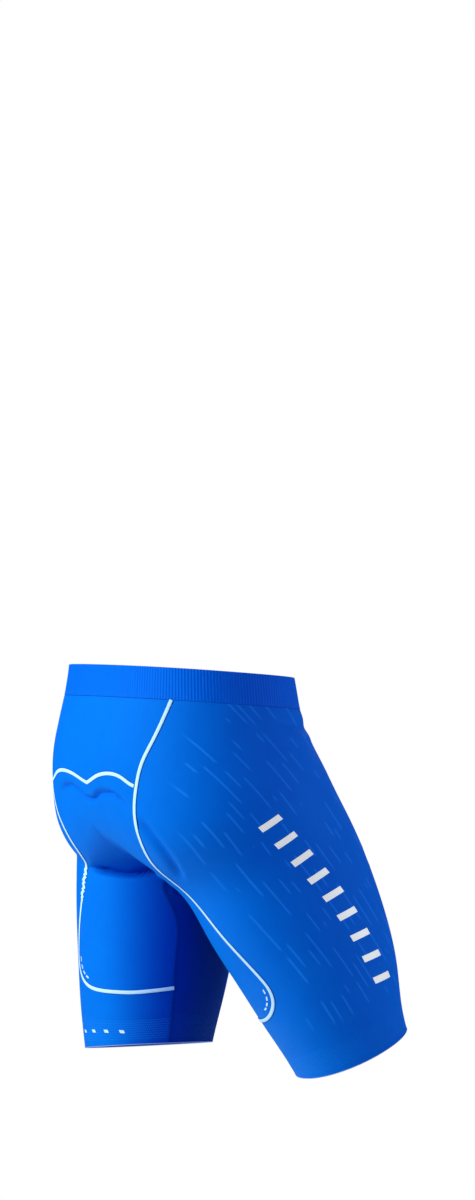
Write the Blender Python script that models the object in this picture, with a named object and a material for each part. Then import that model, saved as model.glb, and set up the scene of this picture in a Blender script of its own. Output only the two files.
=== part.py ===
"""Cycling shorts, worn: a rigid hollow shell of sewn panels, with a seat pad and raised seam lines.

Metres. The front faces -Y, up is +Z and the right leg is on -X, a step forward.
The origin is the centre of the waist opening.
Every panel is a wall whose outer face lies on one form: a trunk, two buttocks and two thighs,
blended. Panels are grids stretched between shared seam curves, so neighbours fit along a seam.
"""
import bpy
import bmesh
import numpy as np

# Cloth and trims
CLOTH = 0.0015
BAND_CLOTH = 0.0020
SEAM_GAP = 0.0003
LINE_WIDTH = 0.0040
LINE_THICK = 0.0006
LINE_LIFT = 0.0004
CORNER_COSINE = 0.6         # an outline that turns more than this is a corner
CORNER_TRIM = 2.5           # how many margins a corner is drawn in

# Waist
WAIST_RISE = 0.08           # how fast the waist climbs towards the back
BAND_DEPTH = 0.038
BAND_ROWS = 2

# Trunk section: height, half_width, front_depth, back_depth, centre_forward
TRUNK = [
    (-0.26, 0.158, 0.110, 0.105, 0.024),
    (-0.20, 0.166, 0.125, 0.125, 0.018),
    (-0.15, 0.173, 0.134, 0.139, 0.012),
    (-0.10, 0.170, 0.130, 0.141, 0.006),
    (-0.05, 0.160, 0.120, 0.132, 0.004),
    (0.00, 0.152, 0.112, 0.122, 0.004),
    (0.04, 0.150, 0.112, 0.118, 0.000),
]
TRUNK_SQUARENESS = 2.3
TRUNK_BASE = -0.168
TRUNK_BASE_DEPTH = 0.086

# Buttocks: one ellipsoid for each side
BUTTOCKS = {
    "right": dict(centre=(-0.072, 0.026, -0.165), radii=(0.080, 0.086, 0.080)),
    "left": dict(centre=(0.069, 0.028, -0.167), radii=(0.077, 0.086, 0.084)),
}

# Legs: hip centre, the step that each leg takes, and how its hem plane rises
HIP = dict(aside=0.088, forward=0.032, below=0.170)
LEGS = {
    "right": dict(sign=-1, forward=0.120, outward=0.050, drop=0.283, rise_in=-0.12, rise_back=-0.42),
    "left": dict(sign=1, forward=-0.038, outward=-0.028, drop=0.284, rise_in=0.142, rise_back=0.041),
}
# Thigh section: distance_from_hip, half_width, front_depth, back_depth
THIGHS = {
    "right": [
        (-0.05, 0.086, 0.102, 0.100),
        (0.00, 0.087, 0.110, 0.104),
        (0.06, 0.086, 0.120, 0.104),
        (0.12, 0.085, 0.119, 0.100),
        (0.18, 0.082, 0.112, 0.091),
        (0.24, 0.077, 0.097, 0.082),
        (0.29, 0.071, 0.078, 0.073),
        (0.33, 0.068, 0.070, 0.068),
    ],
    "left": [
        (-0.05, 0.086, 0.100, 0.100),
        (0.00, 0.087, 0.106, 0.104),
        (0.06, 0.086, 0.112, 0.104),
        (0.12, 0.085, 0.108, 0.100),
        (0.18, 0.083, 0.099, 0.093),
        (0.24, 0.080, 0.086, 0.085),
        (0.29, 0.073, 0.076, 0.077),
        (0.33, 0.068, 0.072, 0.070),
    ],
}
THIGH_SQUARENESS = 2.1
THIGH_TOP_DEPTH = 0.10

# How softly the volumes blend. The fold is the sharp crease under the left buttock and the fork
BLEND = dict(buttocks=0.050, seat=0.045, right=0.060, left=0.050, fold=0.012)

# Seam from the waist down the back of each leg, round the knee corner, to the inner back seam.
# Trunk rows: height, then the angle from straight back towards the right side and the left side
SEAT_SEAM_TRUNK = [
    (-0.040, 52.0, 56.0),
    (-0.079, 43.7, 50.0),
    (-0.105, 38.8, 46.5),
    (-0.132, 36.0, 43.0),
    (-0.150, 34.8, 40.5),
    (-0.168, 34.4, 37.5),
    (-0.187, 35.2, 34.8),
    (-0.206, 37.0, 34.6),
    (-0.222, 39.8, 37.5),
]
# Thigh rows: distance_from_hip, angle round the thigh, 0 outward and 90 back
SEAT_SEAM_THIGH = [
    (0.081, 90.0),
    (0.110, 84.5),
    (0.145, 77.5),
    (0.172, 72.5),
    (0.190, 70.5),
    (0.204, 72.5),
    (0.216, 79.0),
    (0.2245, 89.5),
    (0.2285, 102.0),
    (0.2300, 116.0),
    (0.2300, 129.0),
    (0.2270, 146.0),
    (0.2220, 165.0),
]
YOKE_POINT_ROW = 3          # row of the upper table where the yoke seam meets this seam
KNEE_CORNER_ROW = 6         # row of the lower table at the middle of the rounded corner
INNER_BACK_ANGLE = 165.0
INNER_FRONT_ANGLE = -128.0
INNER_FRONT_LEVEL = 0.222
INNER_BACK_STOPS = (0.15, 0.185)
INNER_FRONT_STOPS = (0.13, 0.18, INNER_FRONT_LEVEL)
INNER_LEVEL_ANGLE = -161.0
KNEE_CORNER_ANGLE = 62.0
HEM_STOPS = (INNER_BACK_ANGLE, KNEE_CORNER_ANGLE, INNER_FRONT_ANGLE)
SIDE_LIFT = 0.03            # rise over the hip of the row of cells that ends at the fork

# Wavy seam under the yoke: a share of the way from the centre back to the side, and its height
YOKE_SEAM = [
    (0.00, -0.1300),
    (0.10, -0.1268),
    (0.24, -0.1220),
    (0.42, -0.1182),
    (0.60, -0.1178),
    (0.76, -0.1215),
    (0.90, -0.1285),
    (1.00, -0.1320),
]

# Fork of the legs, as angles about a centre in the middle plane: 0 back, 90 down, 180 front
MIDDLE_CENTRE_HEIGHT = -0.14
FORK_BACK_ANGLE = 68.0
FORK_FRONT_ANGLE = 118.0
FORK_LEAN = 0.085           # the fork lies a little towards the right leg

# How far the yoke line stops short of the long lines, in line widths and gaps
YOKE_LINE_STOP = 1.6

# Points read off the middle plane for one seam
MIDDLE_KNOTS = 9
FORK_KNOTS = 7
PAD_KNOTS = 25

# Cells along each seam
CELLS = dict(
    waist_to_yoke=6, yoke_to_fold=8, fold_to_corner=9, corner_to_hem=4,
    seat_across=8, side_across=18, fork=5,
)

# Seat pad: its half width at each share of the way from the back edge, under the fork, to the front
PAD_THICK = 0.005
PAD_EDGE_THICK = 0.0015
PAD_CLEARANCE = 0.0030
PAD_START_ANGLE = 8.0
PAD_END_ANGLE = 118.0
PAD_WIDTHS = [
    (0.00, 0.084),
    (0.12, 0.094),
    (0.26, 0.076),
    (0.42, 0.046),
    (0.56, 0.032),
    (0.80, 0.034),
    (0.93, 0.030),
    (1.00, 0.020),
]
PAD_NOTCH = 0.020           # depth of the dip in the middle of the back edge
PAD_LOBE = 0.5              # where each lobe of the back edge peaks, as a share of the half width
PAD_EVEN_ROWS = 4           # rows evened out behind the notched edge
PAD_EDGE_CELLS = 2.5        # cells over which the foam swells from its edge
PAD_ROWS = 20
PAD_CELLS_ACROSS = 12

COLOURS = {
    "azure_knit": ((0.000, 0.165, 0.700), 0.62),
    "deep_azure_knit": ((0.000, 0.060, 0.340), 0.66),
    "pale_line": ((0.640, 0.900, 0.950), 0.50),
    "pad_foam": ((0.000, 0.050, 0.330), 0.85),
}


def make_spline(xs, ys):
    """Natural cubic spline through the rows, straight past its ends."""
    xs = np.asarray(xs, float)
    ys = np.asarray(ys, float)
    n = len(xs)
    h = np.diff(xs)
    slopes = np.diff(ys) / h
    system = np.eye(n)
    right = np.zeros(n)
    for i in range(1, n - 1):
        system[i, i - 1:i + 2] = h[i - 1], 2 * (h[i - 1] + h[i]), h[i]
        right[i] = 6 * (slopes[i] - slopes[i - 1])
    bend = np.linalg.solve(system, right)
    start = slopes[0] - h[0] * bend[1] / 6
    end = slopes[-1] + h[-1] * bend[-2] / 6

    def curve(x):
        x = np.asarray(x, float)
        inside = np.clip(x, xs[0], xs[-1])
        i = np.clip(np.searchsorted(xs, inside) - 1, 0, n - 2)
        before, after, width = inside - xs[i], xs[i + 1] - inside, h[i]
        y = (bend[i] * after**3 + bend[i + 1] * before**3) / (6 * width)
        y = y + (ys[i] / width - bend[i] * width / 6) * after
        y = y + (ys[i + 1] / width - bend[i + 1] * width / 6) * before
        return y + start * np.minimum(0, x - xs[0]) + end * np.maximum(0, x - xs[-1])

    return curve


def table_curves(table):
    """A smooth curve for each column of a table over its first column."""
    rows = np.array(table)
    return [make_spline(rows[:, 0], rows[:, i]) for i in range(1, rows.shape[1])]


TRUNK_CURVES = table_curves(TRUNK)
THIGH_CURVES = {side: table_curves(table) for side, table in THIGHS.items()}
PAD_HALF_WIDTH = table_curves(PAD_WIDTHS)[0]


# Longest ray from inside to the cloth
TRUNK_REACH = 0.24
THIGH_REACH = 0.16


def smooth_step(low, high, x):
    t = np.clip((x - low) / (high - low), 0, 1)
    return t * t * (3 - 2 * t)


def unit(v):
    return v / (np.linalg.norm(v, axis=-1, keepdims=True) + 1e-12)


def blend(a, b, width):
    """Smaller of two distances, rounded where they are nearly equal."""
    overlap = np.maximum(width - np.abs(a - b), 0) / width
    return np.minimum(a, b) - overlap**3 * width / 6


def rounded_distance(offset, radii, squareness):
    """Rough distance to a rounded solid about its centre."""
    length = np.linalg.norm(offset, axis=-1) + 1e-9
    share = (np.abs(offset / radii) ** squareness).sum(-1) ** (1 / squareness) + 1e-9
    return length * (1 - 1 / share)


def leg_frame(side):
    """Hip point, hem point, and the down, outward and back directions of a leg."""
    leg = LEGS[side]
    sign = leg["sign"]
    hip = np.array([sign * HIP["aside"], -HIP["forward"], -HIP["below"]])
    hem = hip + np.array([sign * leg["outward"], -leg["forward"], -leg["drop"]])
    down = unit(hem - hip)
    outward = unit(np.array([sign, 0, 0]) - sign * down[0] * down)
    back = np.cross(outward, down) * sign
    return hip, hem, down, outward, back if back[1] > 0 else -back


def hem_plane(side):
    """A point on the hem plane and its normal, down the leg."""
    leg = LEGS[side]
    normal = np.array([-leg["sign"] * leg["rise_in"], leg["rise_back"], -1.0])
    return leg_frame(side)[1], unit(normal)


def trunk_distance(p):
    half_width, front, back, forward = (curve(p[..., 2]) for curve in TRUNK_CURVES)
    y = p[..., 1] + forward
    depth = np.where(y < 0, front, back)
    below = np.minimum(0, p[..., 2] - TRUNK_BASE)
    radii = np.stack([half_width, depth, np.full_like(depth, TRUNK_BASE_DEPTH)], -1)
    return rounded_distance(np.stack([p[..., 0], y, below], -1), radii, TRUNK_SQUARENESS)


def thigh_distance(p, side):
    hip, _, down, outward, back = leg_frame(side)
    from_hip = p - hip
    along = from_hip @ down
    half_width, front, rear = (curve(along) for curve in THIGH_CURVES[side])
    y = from_hip @ back
    depth = np.where(y < 0, front, rear)
    radii = np.stack([half_width, depth, np.full_like(depth, THIGH_TOP_DEPTH)], -1)
    offset = np.stack([from_hip @ outward, y, np.minimum(0, along)], -1)
    return rounded_distance(offset, radii, THIGH_SQUARENESS)


def form(p):
    """Rough distance to the outside of the worn shorts: negative inside, zero on the cloth."""
    right, left = (
        rounded_distance(p - np.array(lobe["centre"]), np.array(lobe["radii"]), 2)
        for lobe in BUTTOCKS.values()
    )
    seat = blend(trunk_distance(p), blend(right, left, BLEND["buttocks"]), BLEND["seat"])
    with_right = blend(seat, thigh_distance(p, "right"), BLEND["right"])
    under_seat = smooth_step(0.0, 0.06, p[..., 1]) * smooth_step(-0.15, -0.19, p[..., 2])
    in_fork = smooth_step(-0.19, -0.23, p[..., 2]) * smooth_step(0.07, 0.03, np.abs(p[..., 0]))
    in_fork = in_fork * smooth_step(-0.10, -0.055, p[..., 1])
    sharp = np.maximum(under_seat, in_fork)
    width = BLEND["left"] + (BLEND["fold"] - BLEND["left"]) * sharp
    return blend(with_right, thigh_distance(p, "left"), width)


def slope_of(p):
    """Slope of the form at each point, outward."""
    step = 0.0005
    return np.stack([form(p + s) - form(p - s) for s in step * np.eye(3)], -1) / (2 * step)


def outward_of(p):
    """Directions straight out of the form."""
    return unit(slope_of(p))


def settle(p, rounds=8):
    """Move points along the form's slope until they lie on the cloth."""
    for _ in range(rounds):
        slope = slope_of(p)
        size = (slope**2).sum(-1, keepdims=True)
        p = p - form(p)[..., None] * slope / np.maximum(size, 0.25)
    return p


def cast(origin, directions, reach=TRUNK_REACH, steps=241):
    """First point where each ray leaves the form."""
    directions = np.atleast_2d(directions)
    lengths = np.linspace(0, reach, steps)
    values = form(origin + directions[:, None, :] * lengths[None, :, None])
    first = np.argmax(values > 0, axis=1)
    rows = np.arange(len(directions))
    inner, outer = values[rows, first - 1], values[rows, first]
    length = lengths[first - 1] + (lengths[1] - lengths[0]) * inner / (inner - outer)
    return settle(origin + directions * length[:, None], 3)


def trunk_points(rows, sign):
    """Points on the trunk from rows of height and angle from straight back."""
    found = []
    for height, angle in rows:
        turn = np.radians(angle)
        found.append(cast(np.array([0, 0, height]), np.array([sign * np.sin(turn), np.cos(turn), 0]))[0])
    return np.array(found)


def thigh_points(rows, side):
    """Points on a thigh from rows of distance from the hip and angle round it."""
    hip, _, down, outward, back = leg_frame(side)
    found = []
    for along, angle in rows:
        turn = np.radians(angle)
        found.append(cast(hip + down * along, np.cos(turn) * outward + np.sin(turn) * back, THIGH_REACH)[0])
    return np.array(found)


def hem_points(side, angles):
    """Points on the hem at angles round the thigh."""
    down, outward, back = leg_frame(side)[2:]
    point, normal = hem_plane(side)
    turn = np.radians(angles)[:, None]
    directions = np.cos(turn) * outward + np.sin(turn) * back
    flat = directions - (directions @ normal)[:, None] / (down @ normal) * down
    return cast(point, unit(flat), THIGH_REACH)


def middle_points(angles):
    """Points where the middle plane meets the form."""
    turn = np.radians(angles)
    directions = np.stack([-FORK_LEAN * np.sin(turn)**2, np.cos(turn), -np.sin(turn)], -1)
    return cast(np.array([0, 0, MIDDLE_CENTRE_HEIGHT]), unit(directions))


def run_along(points):
    """Distance along a line of points, from its start to each of them."""
    return np.concatenate([[0], np.cumsum(np.linalg.norm(np.diff(points, axis=0), axis=1))])


def through(knots, cells, start=0, end=None):
    """Even steps along a smooth curve on the form, from knot start to knot end."""
    knots = np.asarray(knots)
    end = len(knots) - 1 if end is None else end
    marks = run_along(knots)
    fine = np.linspace(marks[start], marks[end], 40 * cells + 1)
    curve = settle(np.stack([make_spline(marks, knots[:, i])(fine) for i in range(3)], -1), 4)
    run = run_along(curve)
    even = np.linspace(0, run[-1], cells + 1)
    points = np.stack([np.interp(even, run, curve[:, i]) for i in range(3)], -1)
    points[1:-1] = settle(points[1:-1], 4)
    return points


def waist_ring(depth, angles):
    """Points round the waist at a depth below its edge, at angles from straight back."""
    turn = np.radians(angles)
    directions = unit(np.stack([np.sin(turn), np.cos(turn), WAIST_RISE * np.cos(turn)], -1))
    return cast(np.array([0, 0, -depth]), directions)


def seat_line_angle(side):
    """Angle where the seat seam starts at the waistband."""
    return SEAT_SEAM_TRUNK[0][1 if side == "right" else 2]


def seams_of(side):
    """Every seam curve of one half, as sample points, named for its two ends."""
    sign = LEGS[side]["sign"]
    column = 1 if side == "right" else 2
    c = CELLS
    start_angle = seat_line_angle(side)
    waist_start = waist_ring(BAND_DEPTH, np.array([sign * start_angle]))
    upper = trunk_points([(row[0], row[column]) for row in SEAT_SEAM_TRUNK[1:]], sign)
    knots = np.concatenate([waist_start, upper, thigh_points(SEAT_SEAM_THIGH, side)])
    level_knot = knots[-1:]
    fold = len(SEAT_SEAM_TRUNK)
    corner = fold + KNEE_CORNER_ROW
    s = {}
    s["waist_yoke"] = through(knots, c["waist_to_yoke"], 0, YOKE_POINT_ROW)
    s["yoke_fold"] = through(knots, c["yoke_to_fold"], YOKE_POINT_ROW, fold)
    s["fold_corner"] = through(knots, c["fold_to_corner"], fold, corner)
    s["corner_inner"] = through(knots, c["seat_across"], corner)
    yoke_angle = SEAT_SEAM_TRUNK[YOKE_POINT_ROW][column]
    wave = trunk_points([(height, share * yoke_angle) for share, height in YOKE_SEAM], sign)
    s["yoke_centre"] = through(wave[::-1], c["seat_across"])
    back_angle = np.degrees(np.arctan2(MIDDLE_CENTRE_HEIGHT - YOKE_SEAM[0][1], wave[0, 1]))
    middle_back = middle_points(np.linspace(back_angle, FORK_BACK_ANGLE, MIDDLE_KNOTS))
    s["centre_back"] = through(middle_back, c["yoke_to_fold"])
    fork = middle_points(np.linspace(FORK_BACK_ANGLE, FORK_FRONT_ANGLE, FORK_KNOTS))
    s["fork"] = through(fork, c["fork"])
    front_start = waist_ring(BAND_DEPTH, np.array([180.0]))
    front_angle = np.degrees(np.arctan2(MIDDLE_CENTRE_HEIGHT - front_start[0, 2], front_start[0, 1]))
    middle_front = middle_points(np.linspace(front_angle % 360, FORK_FRONT_ANGLE, MIDDLE_KNOTS)[1:])
    front = np.concatenate([front_start, middle_front])
    s["centre_front"] = through(front, c["waist_to_yoke"] + c["yoke_to_fold"])
    hem_back, hem_corner, hem_front = (hem_points(side, np.array([a])) for a in HEM_STOPS)
    drop = LEGS[side]["drop"]
    inner_back = thigh_points([(t, INNER_BACK_ANGLE) for t in INNER_BACK_STOPS], side)
    back_knots = np.concatenate([s["fork"][:1], inner_back, level_knot])
    s["fork_inner_back"] = through(back_knots, c["fold_to_corner"])
    tail = thigh_points([((SEAT_SEAM_THIGH[-1][0] + drop) / 2, INNER_BACK_ANGLE)], side)
    s["inner_back_hem"] = through(np.concatenate([level_knot, tail, hem_back]), c["corner_to_hem"])
    inner_front = thigh_points([(t, INNER_FRONT_ANGLE) for t in INNER_FRONT_STOPS], side)
    s["fork_inner_front"] = through(np.concatenate([s["fork"][-1:], inner_front]), c["fold_to_corner"])
    tail = thigh_points([((INNER_FRONT_LEVEL + drop) / 2, INNER_FRONT_ANGLE)], side)
    s["inner_front_hem"] = through(np.concatenate([inner_front[-1:], tail, hem_front]), c["corner_to_hem"])
    s["corner_hem"] = through(np.concatenate([s["fold_corner"][-1:], hem_corner]), c["corner_to_hem"])
    s["hem_back"] = hem_points(side, np.linspace(HEM_STOPS[0], HEM_STOPS[1], c["seat_across"] + 1))
    s["hem_side"] = hem_points(side, np.linspace(HEM_STOPS[1], HEM_STOPS[2], c["side_across"] + 1))
    s["hem_inner"] = hem_points(side, np.linspace(HEM_STOPS[0], HEM_STOPS[2] + 360, c["fork"] + 1))
    s["fold_fork"] = across(s["yoke_fold"][-1], s["fork"][0], c["seat_across"])
    s["fold_side"] = round_thigh(side, s["yoke_fold"][-1], s["fork"][-1], SIDE_LIFT, c["side_across"])
    s["corner_side"] = round_thigh(side, s["fold_corner"][-1], inner_front[-1], 0.0, c["side_across"])
    s["waist_back"] = waist_ring(BAND_DEPTH, sign * np.linspace(start_angle, 0, c["seat_across"] + 1))
    s["waist_side"] = waist_ring(BAND_DEPTH, sign * np.linspace(start_angle, 180, c["side_across"] + 1))
    level = thigh_points([(INNER_FRONT_LEVEL, INNER_LEVEL_ANGLE)], side)
    s["inner_level"] = through(np.concatenate([level_knot, level, inner_front[-1:]]), c["fork"])
    return s


def across(a, b, cells):
    """A short curve on the form between two points."""
    mix = np.linspace(0, 1, cells + 1)[:, None]
    return settle(a + (b - a) * mix, 12)


def round_thigh(side, a, b, lift, cells):
    """A curve round the outside of a thigh, lifted in its middle, from point a behind to point b."""
    hip, _, down, outward, back = leg_frame(side)
    low_a, low_b = (a - hip) @ down, (b - hip) @ down
    start = np.degrees(np.arctan2((a - hip) @ back, (a - hip) @ outward))
    turns = np.linspace(start, INNER_FRONT_ANGLE, 9)
    share = (start - turns) / (start + 180)
    along = low_a + (low_b - low_a) * share - lift * np.sin(np.pi * share)
    middle = thigh_points(list(zip(along, turns))[1:-1], side)
    return through(np.concatenate([[a], middle, [b]]), cells)


def patch(top, bottom, left, right):
    """A grid on the form between four curves, rows from top to bottom."""
    u = np.linspace(0, 1, len(top))[None, :, None]
    v = np.linspace(0, 1, len(left))[:, None, None]
    rows = top[None] * (1 - v) + bottom[None] * v
    columns = left[:, None] * (1 - u) + right[:, None] * u
    corners = (top[0] * (1 - u) + top[-1] * u) * (1 - v) + (bottom[0] * (1 - u) + bottom[-1] * u) * v
    grid = rows + columns - corners
    grid[1:-1, 1:-1] = settle(grid[1:-1, 1:-1])
    return relax(grid, 12)


def relax(grid, rounds):
    """Even out the spacing inside a grid, keeping its points on the form and its rim still."""
    for _ in range(rounds):
        inner = (grid[:-2, 1:-1] + grid[2:, 1:-1] + grid[1:-1, :-2] + grid[1:-1, 2:]) / 4
        grid[1:-1, 1:-1] = settle((grid[1:-1, 1:-1] + inner) / 2, 2)
    grid[1:-1, 1:-1] = settle(grid[1:-1, 1:-1])
    return grid


def join_patches(grids):
    """Weld grids that share edge points into one list of points and outward-facing quads."""
    index = {}
    points = []
    quads = []
    for grid in grids:
        names = np.empty(grid.shape[:2], int)
        for place in np.ndindex(*names.shape):
            key = tuple(np.round(grid[place], 6))
            if key not in index:
                index[key] = len(points)
                points.append(grid[place])
            names[place] = index[key]
        middle = grid[grid.shape[0] // 2, grid.shape[1] // 2]
        step_u = grid[grid.shape[0] // 2, grid.shape[1] // 2 + 1] - middle
        step_v = grid[grid.shape[0] // 2 + 1, grid.shape[1] // 2] - middle
        outward = np.cross(step_u, step_v) @ slope_of(middle) > 0
        for r in range(names.shape[0] - 1):
            for c in range(names.shape[1] - 1):
                quad = [names[r, c], names[r, c + 1], names[r + 1, c + 1], names[r + 1, c]]
                quads.append(quad if outward else quad[::-1])
    return np.array(points), quads


def boundary_edges(quads):
    """Directed edges that only one quad uses."""
    used = {(q[i], q[(i + 1) % 4]) for q in quads for i in range(4)}
    return [e for e in used if e[::-1] not in used]


def trimmed(points, quads, margin):
    """Points with the panel's outline drawn in by a margin, and its sharp corners a little more."""
    out = outward_of(points)
    middles = {}
    for q in quads:
        for i in q:
            middles.setdefault(i, []).append(points[q].mean(axis=0))
    inward = {}
    for a, b in boundary_edges(quads):
        step = unit(np.cross((out[a] + out[b]) / 2, points[b] - points[a]))
        inward.setdefault(a, []).append(step)
        inward.setdefault(b, []).append(step)
    moved = points.copy()
    for i, (first, second) in inward.items():
        if first @ second > CORNER_COSINE:
            moved[i] += margin * (first + second) / (1 + first @ second)
        else:
            moved[i] += CORNER_TRIM * margin * unit(np.mean(middles[i], axis=0) - points[i])
    return moved


def add_object(name, points, faces, material, collection):
    mesh = bpy.data.meshes.new(name)
    mesh.from_pydata([tuple(p) for p in points], [], [tuple(int(i) for i in f) for f in faces])
    mesh.materials.append(material)
    bm = bmesh.new()
    bm.from_mesh(mesh)
    bmesh.ops.recalc_face_normals(bm, faces=bm.faces)
    bm.to_mesh(mesh)
    bm.free()
    part = bpy.data.objects.new(name, mesh)
    collection.objects.link(part)
    return part


def wall(outer, quads, depths):
    """Points and faces of a closed wall: the outer skin, an inner skin and the edges between."""
    inner = outer - outward_of(outer) * np.asarray(depths).reshape(-1, 1)
    n = len(outer)
    faces = [list(q) for q in quads]
    faces += [[i + n for i in reversed(q)] for q in quads]
    faces += [[b, a, a + n, b + n] for a, b in boundary_edges(quads)]
    return np.concatenate([outer, inner]), faces


def add_panel(name, grids, material, collection, thickness=CLOTH):
    points, quads = join_patches(grids)
    outer = trimmed(points, quads, SEAM_GAP / 2)
    add_object(name, *wall(outer, quads, np.full(len(outer), thickness)), material, collection)


def side_patches(s):
    """The outer panel of one leg, from the centre front round to the seat seam."""
    back = np.concatenate([s["waist_yoke"], s["yoke_fold"][1:]])
    return dict(
        hip=patch(s["waist_side"], s["fold_side"], back, s["centre_front"]),
        thigh=patch(s["fold_side"], s["corner_side"], s["fold_corner"], s["fork_inner_front"]),
        knee=patch(s["corner_side"], s["hem_side"], s["corner_hem"], s["inner_front_hem"]),
        cuff=patch(s["corner_inner"][::-1], s["hem_back"], s["inner_back_hem"], s["corner_hem"]),
    )


def seat_patches(s):
    """Half of the seat panel: over the buttock, then down the back of the thigh."""
    return dict(
        seat=patch(s["yoke_centre"], s["fold_fork"], s["yoke_fold"], s["centre_back"]),
        thigh=patch(s["fold_fork"], s["corner_inner"], s["fold_corner"], s["fork_inner_back"]),
    )


def inner_patches(s):
    """The inner leg panel, from the fork to the hem."""
    return dict(
        upper=patch(s["fork"], s["inner_level"], s["fork_inner_back"], s["fork_inner_front"]),
        lower=patch(s["inner_level"], s["hem_inner"], s["inner_back_hem"], s["inner_front_hem"]),
    )


def yoke_patch(right, left):
    top = np.concatenate([right["waist_back"], left["waist_back"][-2::-1]])
    bottom = np.concatenate([right["yoke_centre"], left["yoke_centre"][-2::-1]])
    return patch(top, bottom, right["waist_yoke"], left["waist_yoke"])


def band_angles():
    """Angles round the waistband, with a column at each panel's corner."""
    c = CELLS
    right, left = seat_line_angle("right"), seat_line_angle("left")
    stops = [
        np.linspace(-180, -right, c["side_across"] + 1),
        np.linspace(-right, 0, c["seat_across"] + 1)[1:],
        np.linspace(0, left, c["seat_across"] + 1)[1:],
        np.linspace(left, 180, c["side_across"] + 1)[1:-1],
    ]
    return np.concatenate(stops)


def add_waistband(material, collection):
    """A closed ring of elastic above the panels."""
    angles = band_angles()
    depths = np.linspace(0, BAND_DEPTH - SEAM_GAP, BAND_ROWS + 1)
    rows = np.stack([waist_ring(d, angles) for d in depths])
    n = len(angles)
    points = rows.reshape(-1, 3)
    quads = [
        [r * n + c, (r + 1) * n + c, (r + 1) * n + (c + 1) % n, r * n + (c + 1) % n]
        for r in range(BAND_ROWS) for c in range(n)
    ]
    first = quads[0]
    facing = np.cross(points[first[1]] - points[first[0]], points[first[2]] - points[first[1]])
    if facing @ slope_of(points[first[0]]) < 0:
        quads = [q[::-1] for q in quads]
    add_object("waistband", *wall(points, quads, np.full(len(points), BAND_CLOTH)), material, collection)


def strip(centre, left_neighbours, right_neighbours):
    """A flat ribbon over a seam, its edges laid on the panels either side and moved out."""
    out = outward_of(centre)
    half = LINE_WIDTH / 2
    along = unit(np.gradient(centre, axis=0))
    sides = []
    for neighbours in (left_neighbours, right_neighbours):
        step = neighbours - centre
        step = step - (step * along).sum(-1, keepdims=True) * along
        sides.append(centre + unit(step) * half)
    low = [sides[0] + out * LINE_LIFT, centre + out * LINE_LIFT, sides[1] + out * LINE_LIFT]
    return low, [edge + out * LINE_THICK for edge in low]


def add_line(name, centre, left_neighbours, right_neighbours, material, collection):
    low, high = strip(centre, left_neighbours, right_neighbours)
    ring = [low[0], low[1], low[2], high[2], high[1], high[0]]
    n, sides = len(centre), len(ring)
    points = np.concatenate(ring)
    faces = [
        [k * n + i, k * n + i + 1, (k + 1) % sides * n + i + 1, (k + 1) % sides * n + i]
        for k in range(sides) for i in range(n - 1)
    ]
    for end in (0, n - 1):
        faces.append([end, n + end, 4 * n + end, 5 * n + end])
        faces.append([n + end, 2 * n + end, 3 * n + end, 4 * n + end])
    add_object(name, points, faces, material, collection)


def add_seam_line(side, s, panels, seat, yoke_column, material, collection):
    """The raised pale line along the whole seat seam of one leg."""
    below = [s[name][1:] for name in ("yoke_fold", "fold_corner", "corner_inner")]
    centre = np.concatenate([s["waist_yoke"], *below])
    outer = np.concatenate([panels["hip"][:, 1], panels["thigh"][1:, 1], panels["cuff"][1, -2::-1]])
    inner = np.concatenate([
        yoke_column, seat["seat"][1:, 1], seat["thigh"][1:-1, 1], seat["thigh"][-2, :],
    ])
    corner = len(s["waist_yoke"]) + len(s["yoke_fold"]) + len(s["fold_corner"]) - 3
    inner[corner] = seat["thigh"][-2, 1]
    outer[corner] = centre[corner] * 2 - inner[corner]
    add_line("seam_line_" + side, centre, outer, inner, material, collection)


def add_yoke_line(right, left, yoke, seats, material, collection):
    """The wavy pale line under the yoke, between the two long lines."""
    centre = np.concatenate([right["yoke_centre"], left["yoke_centre"][-2::-1]])
    above = yoke[-2].copy()
    below = np.concatenate([seats["right"]["seat"][1], seats["left"]["seat"][1, -2::-1]])
    keep = LINE_WIDTH / 2 + SEAM_GAP
    for end, beside in ((0, 1), (-1, -2)):
        pull = unit(centre[beside] - centre[end]) * keep * YOKE_LINE_STOP
        centre[end] += pull
        above[end] += pull
        below[end] += pull
    add_line("seam_line_yoke", centre, above, below, material, collection)


def walk(starts, plane_normals, heading, reach):
    """Tracks over the form from each start, each kept in its own plane, and the run at each stop."""
    stride = 0.004
    place = starts.copy()
    direction = np.broadcast_to(heading, starts.shape)
    track, runs = [place], [np.zeros(len(starts))]
    for _ in range(int(reach / stride) + 2):
        out = outward_of(place)
        direction = unit(direction - (direction * out).sum(-1, keepdims=True) * out)
        ahead = place + direction * stride
        for _ in range(4):
            slope = slope_of(ahead)
            slope = slope - (slope * plane_normals).sum(-1, keepdims=True) * plane_normals
            size = np.maximum((slope**2).sum(-1, keepdims=True), 0.25)
            ahead = ahead - form(ahead)[:, None] * slope / size
        moved = ahead - place
        direction = unit(moved)
        runs.append(runs[-1] + np.linalg.norm(moved, axis=-1))
        place = ahead
        track.append(place)
    return np.stack(track, 1), np.stack(runs, 1)


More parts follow.
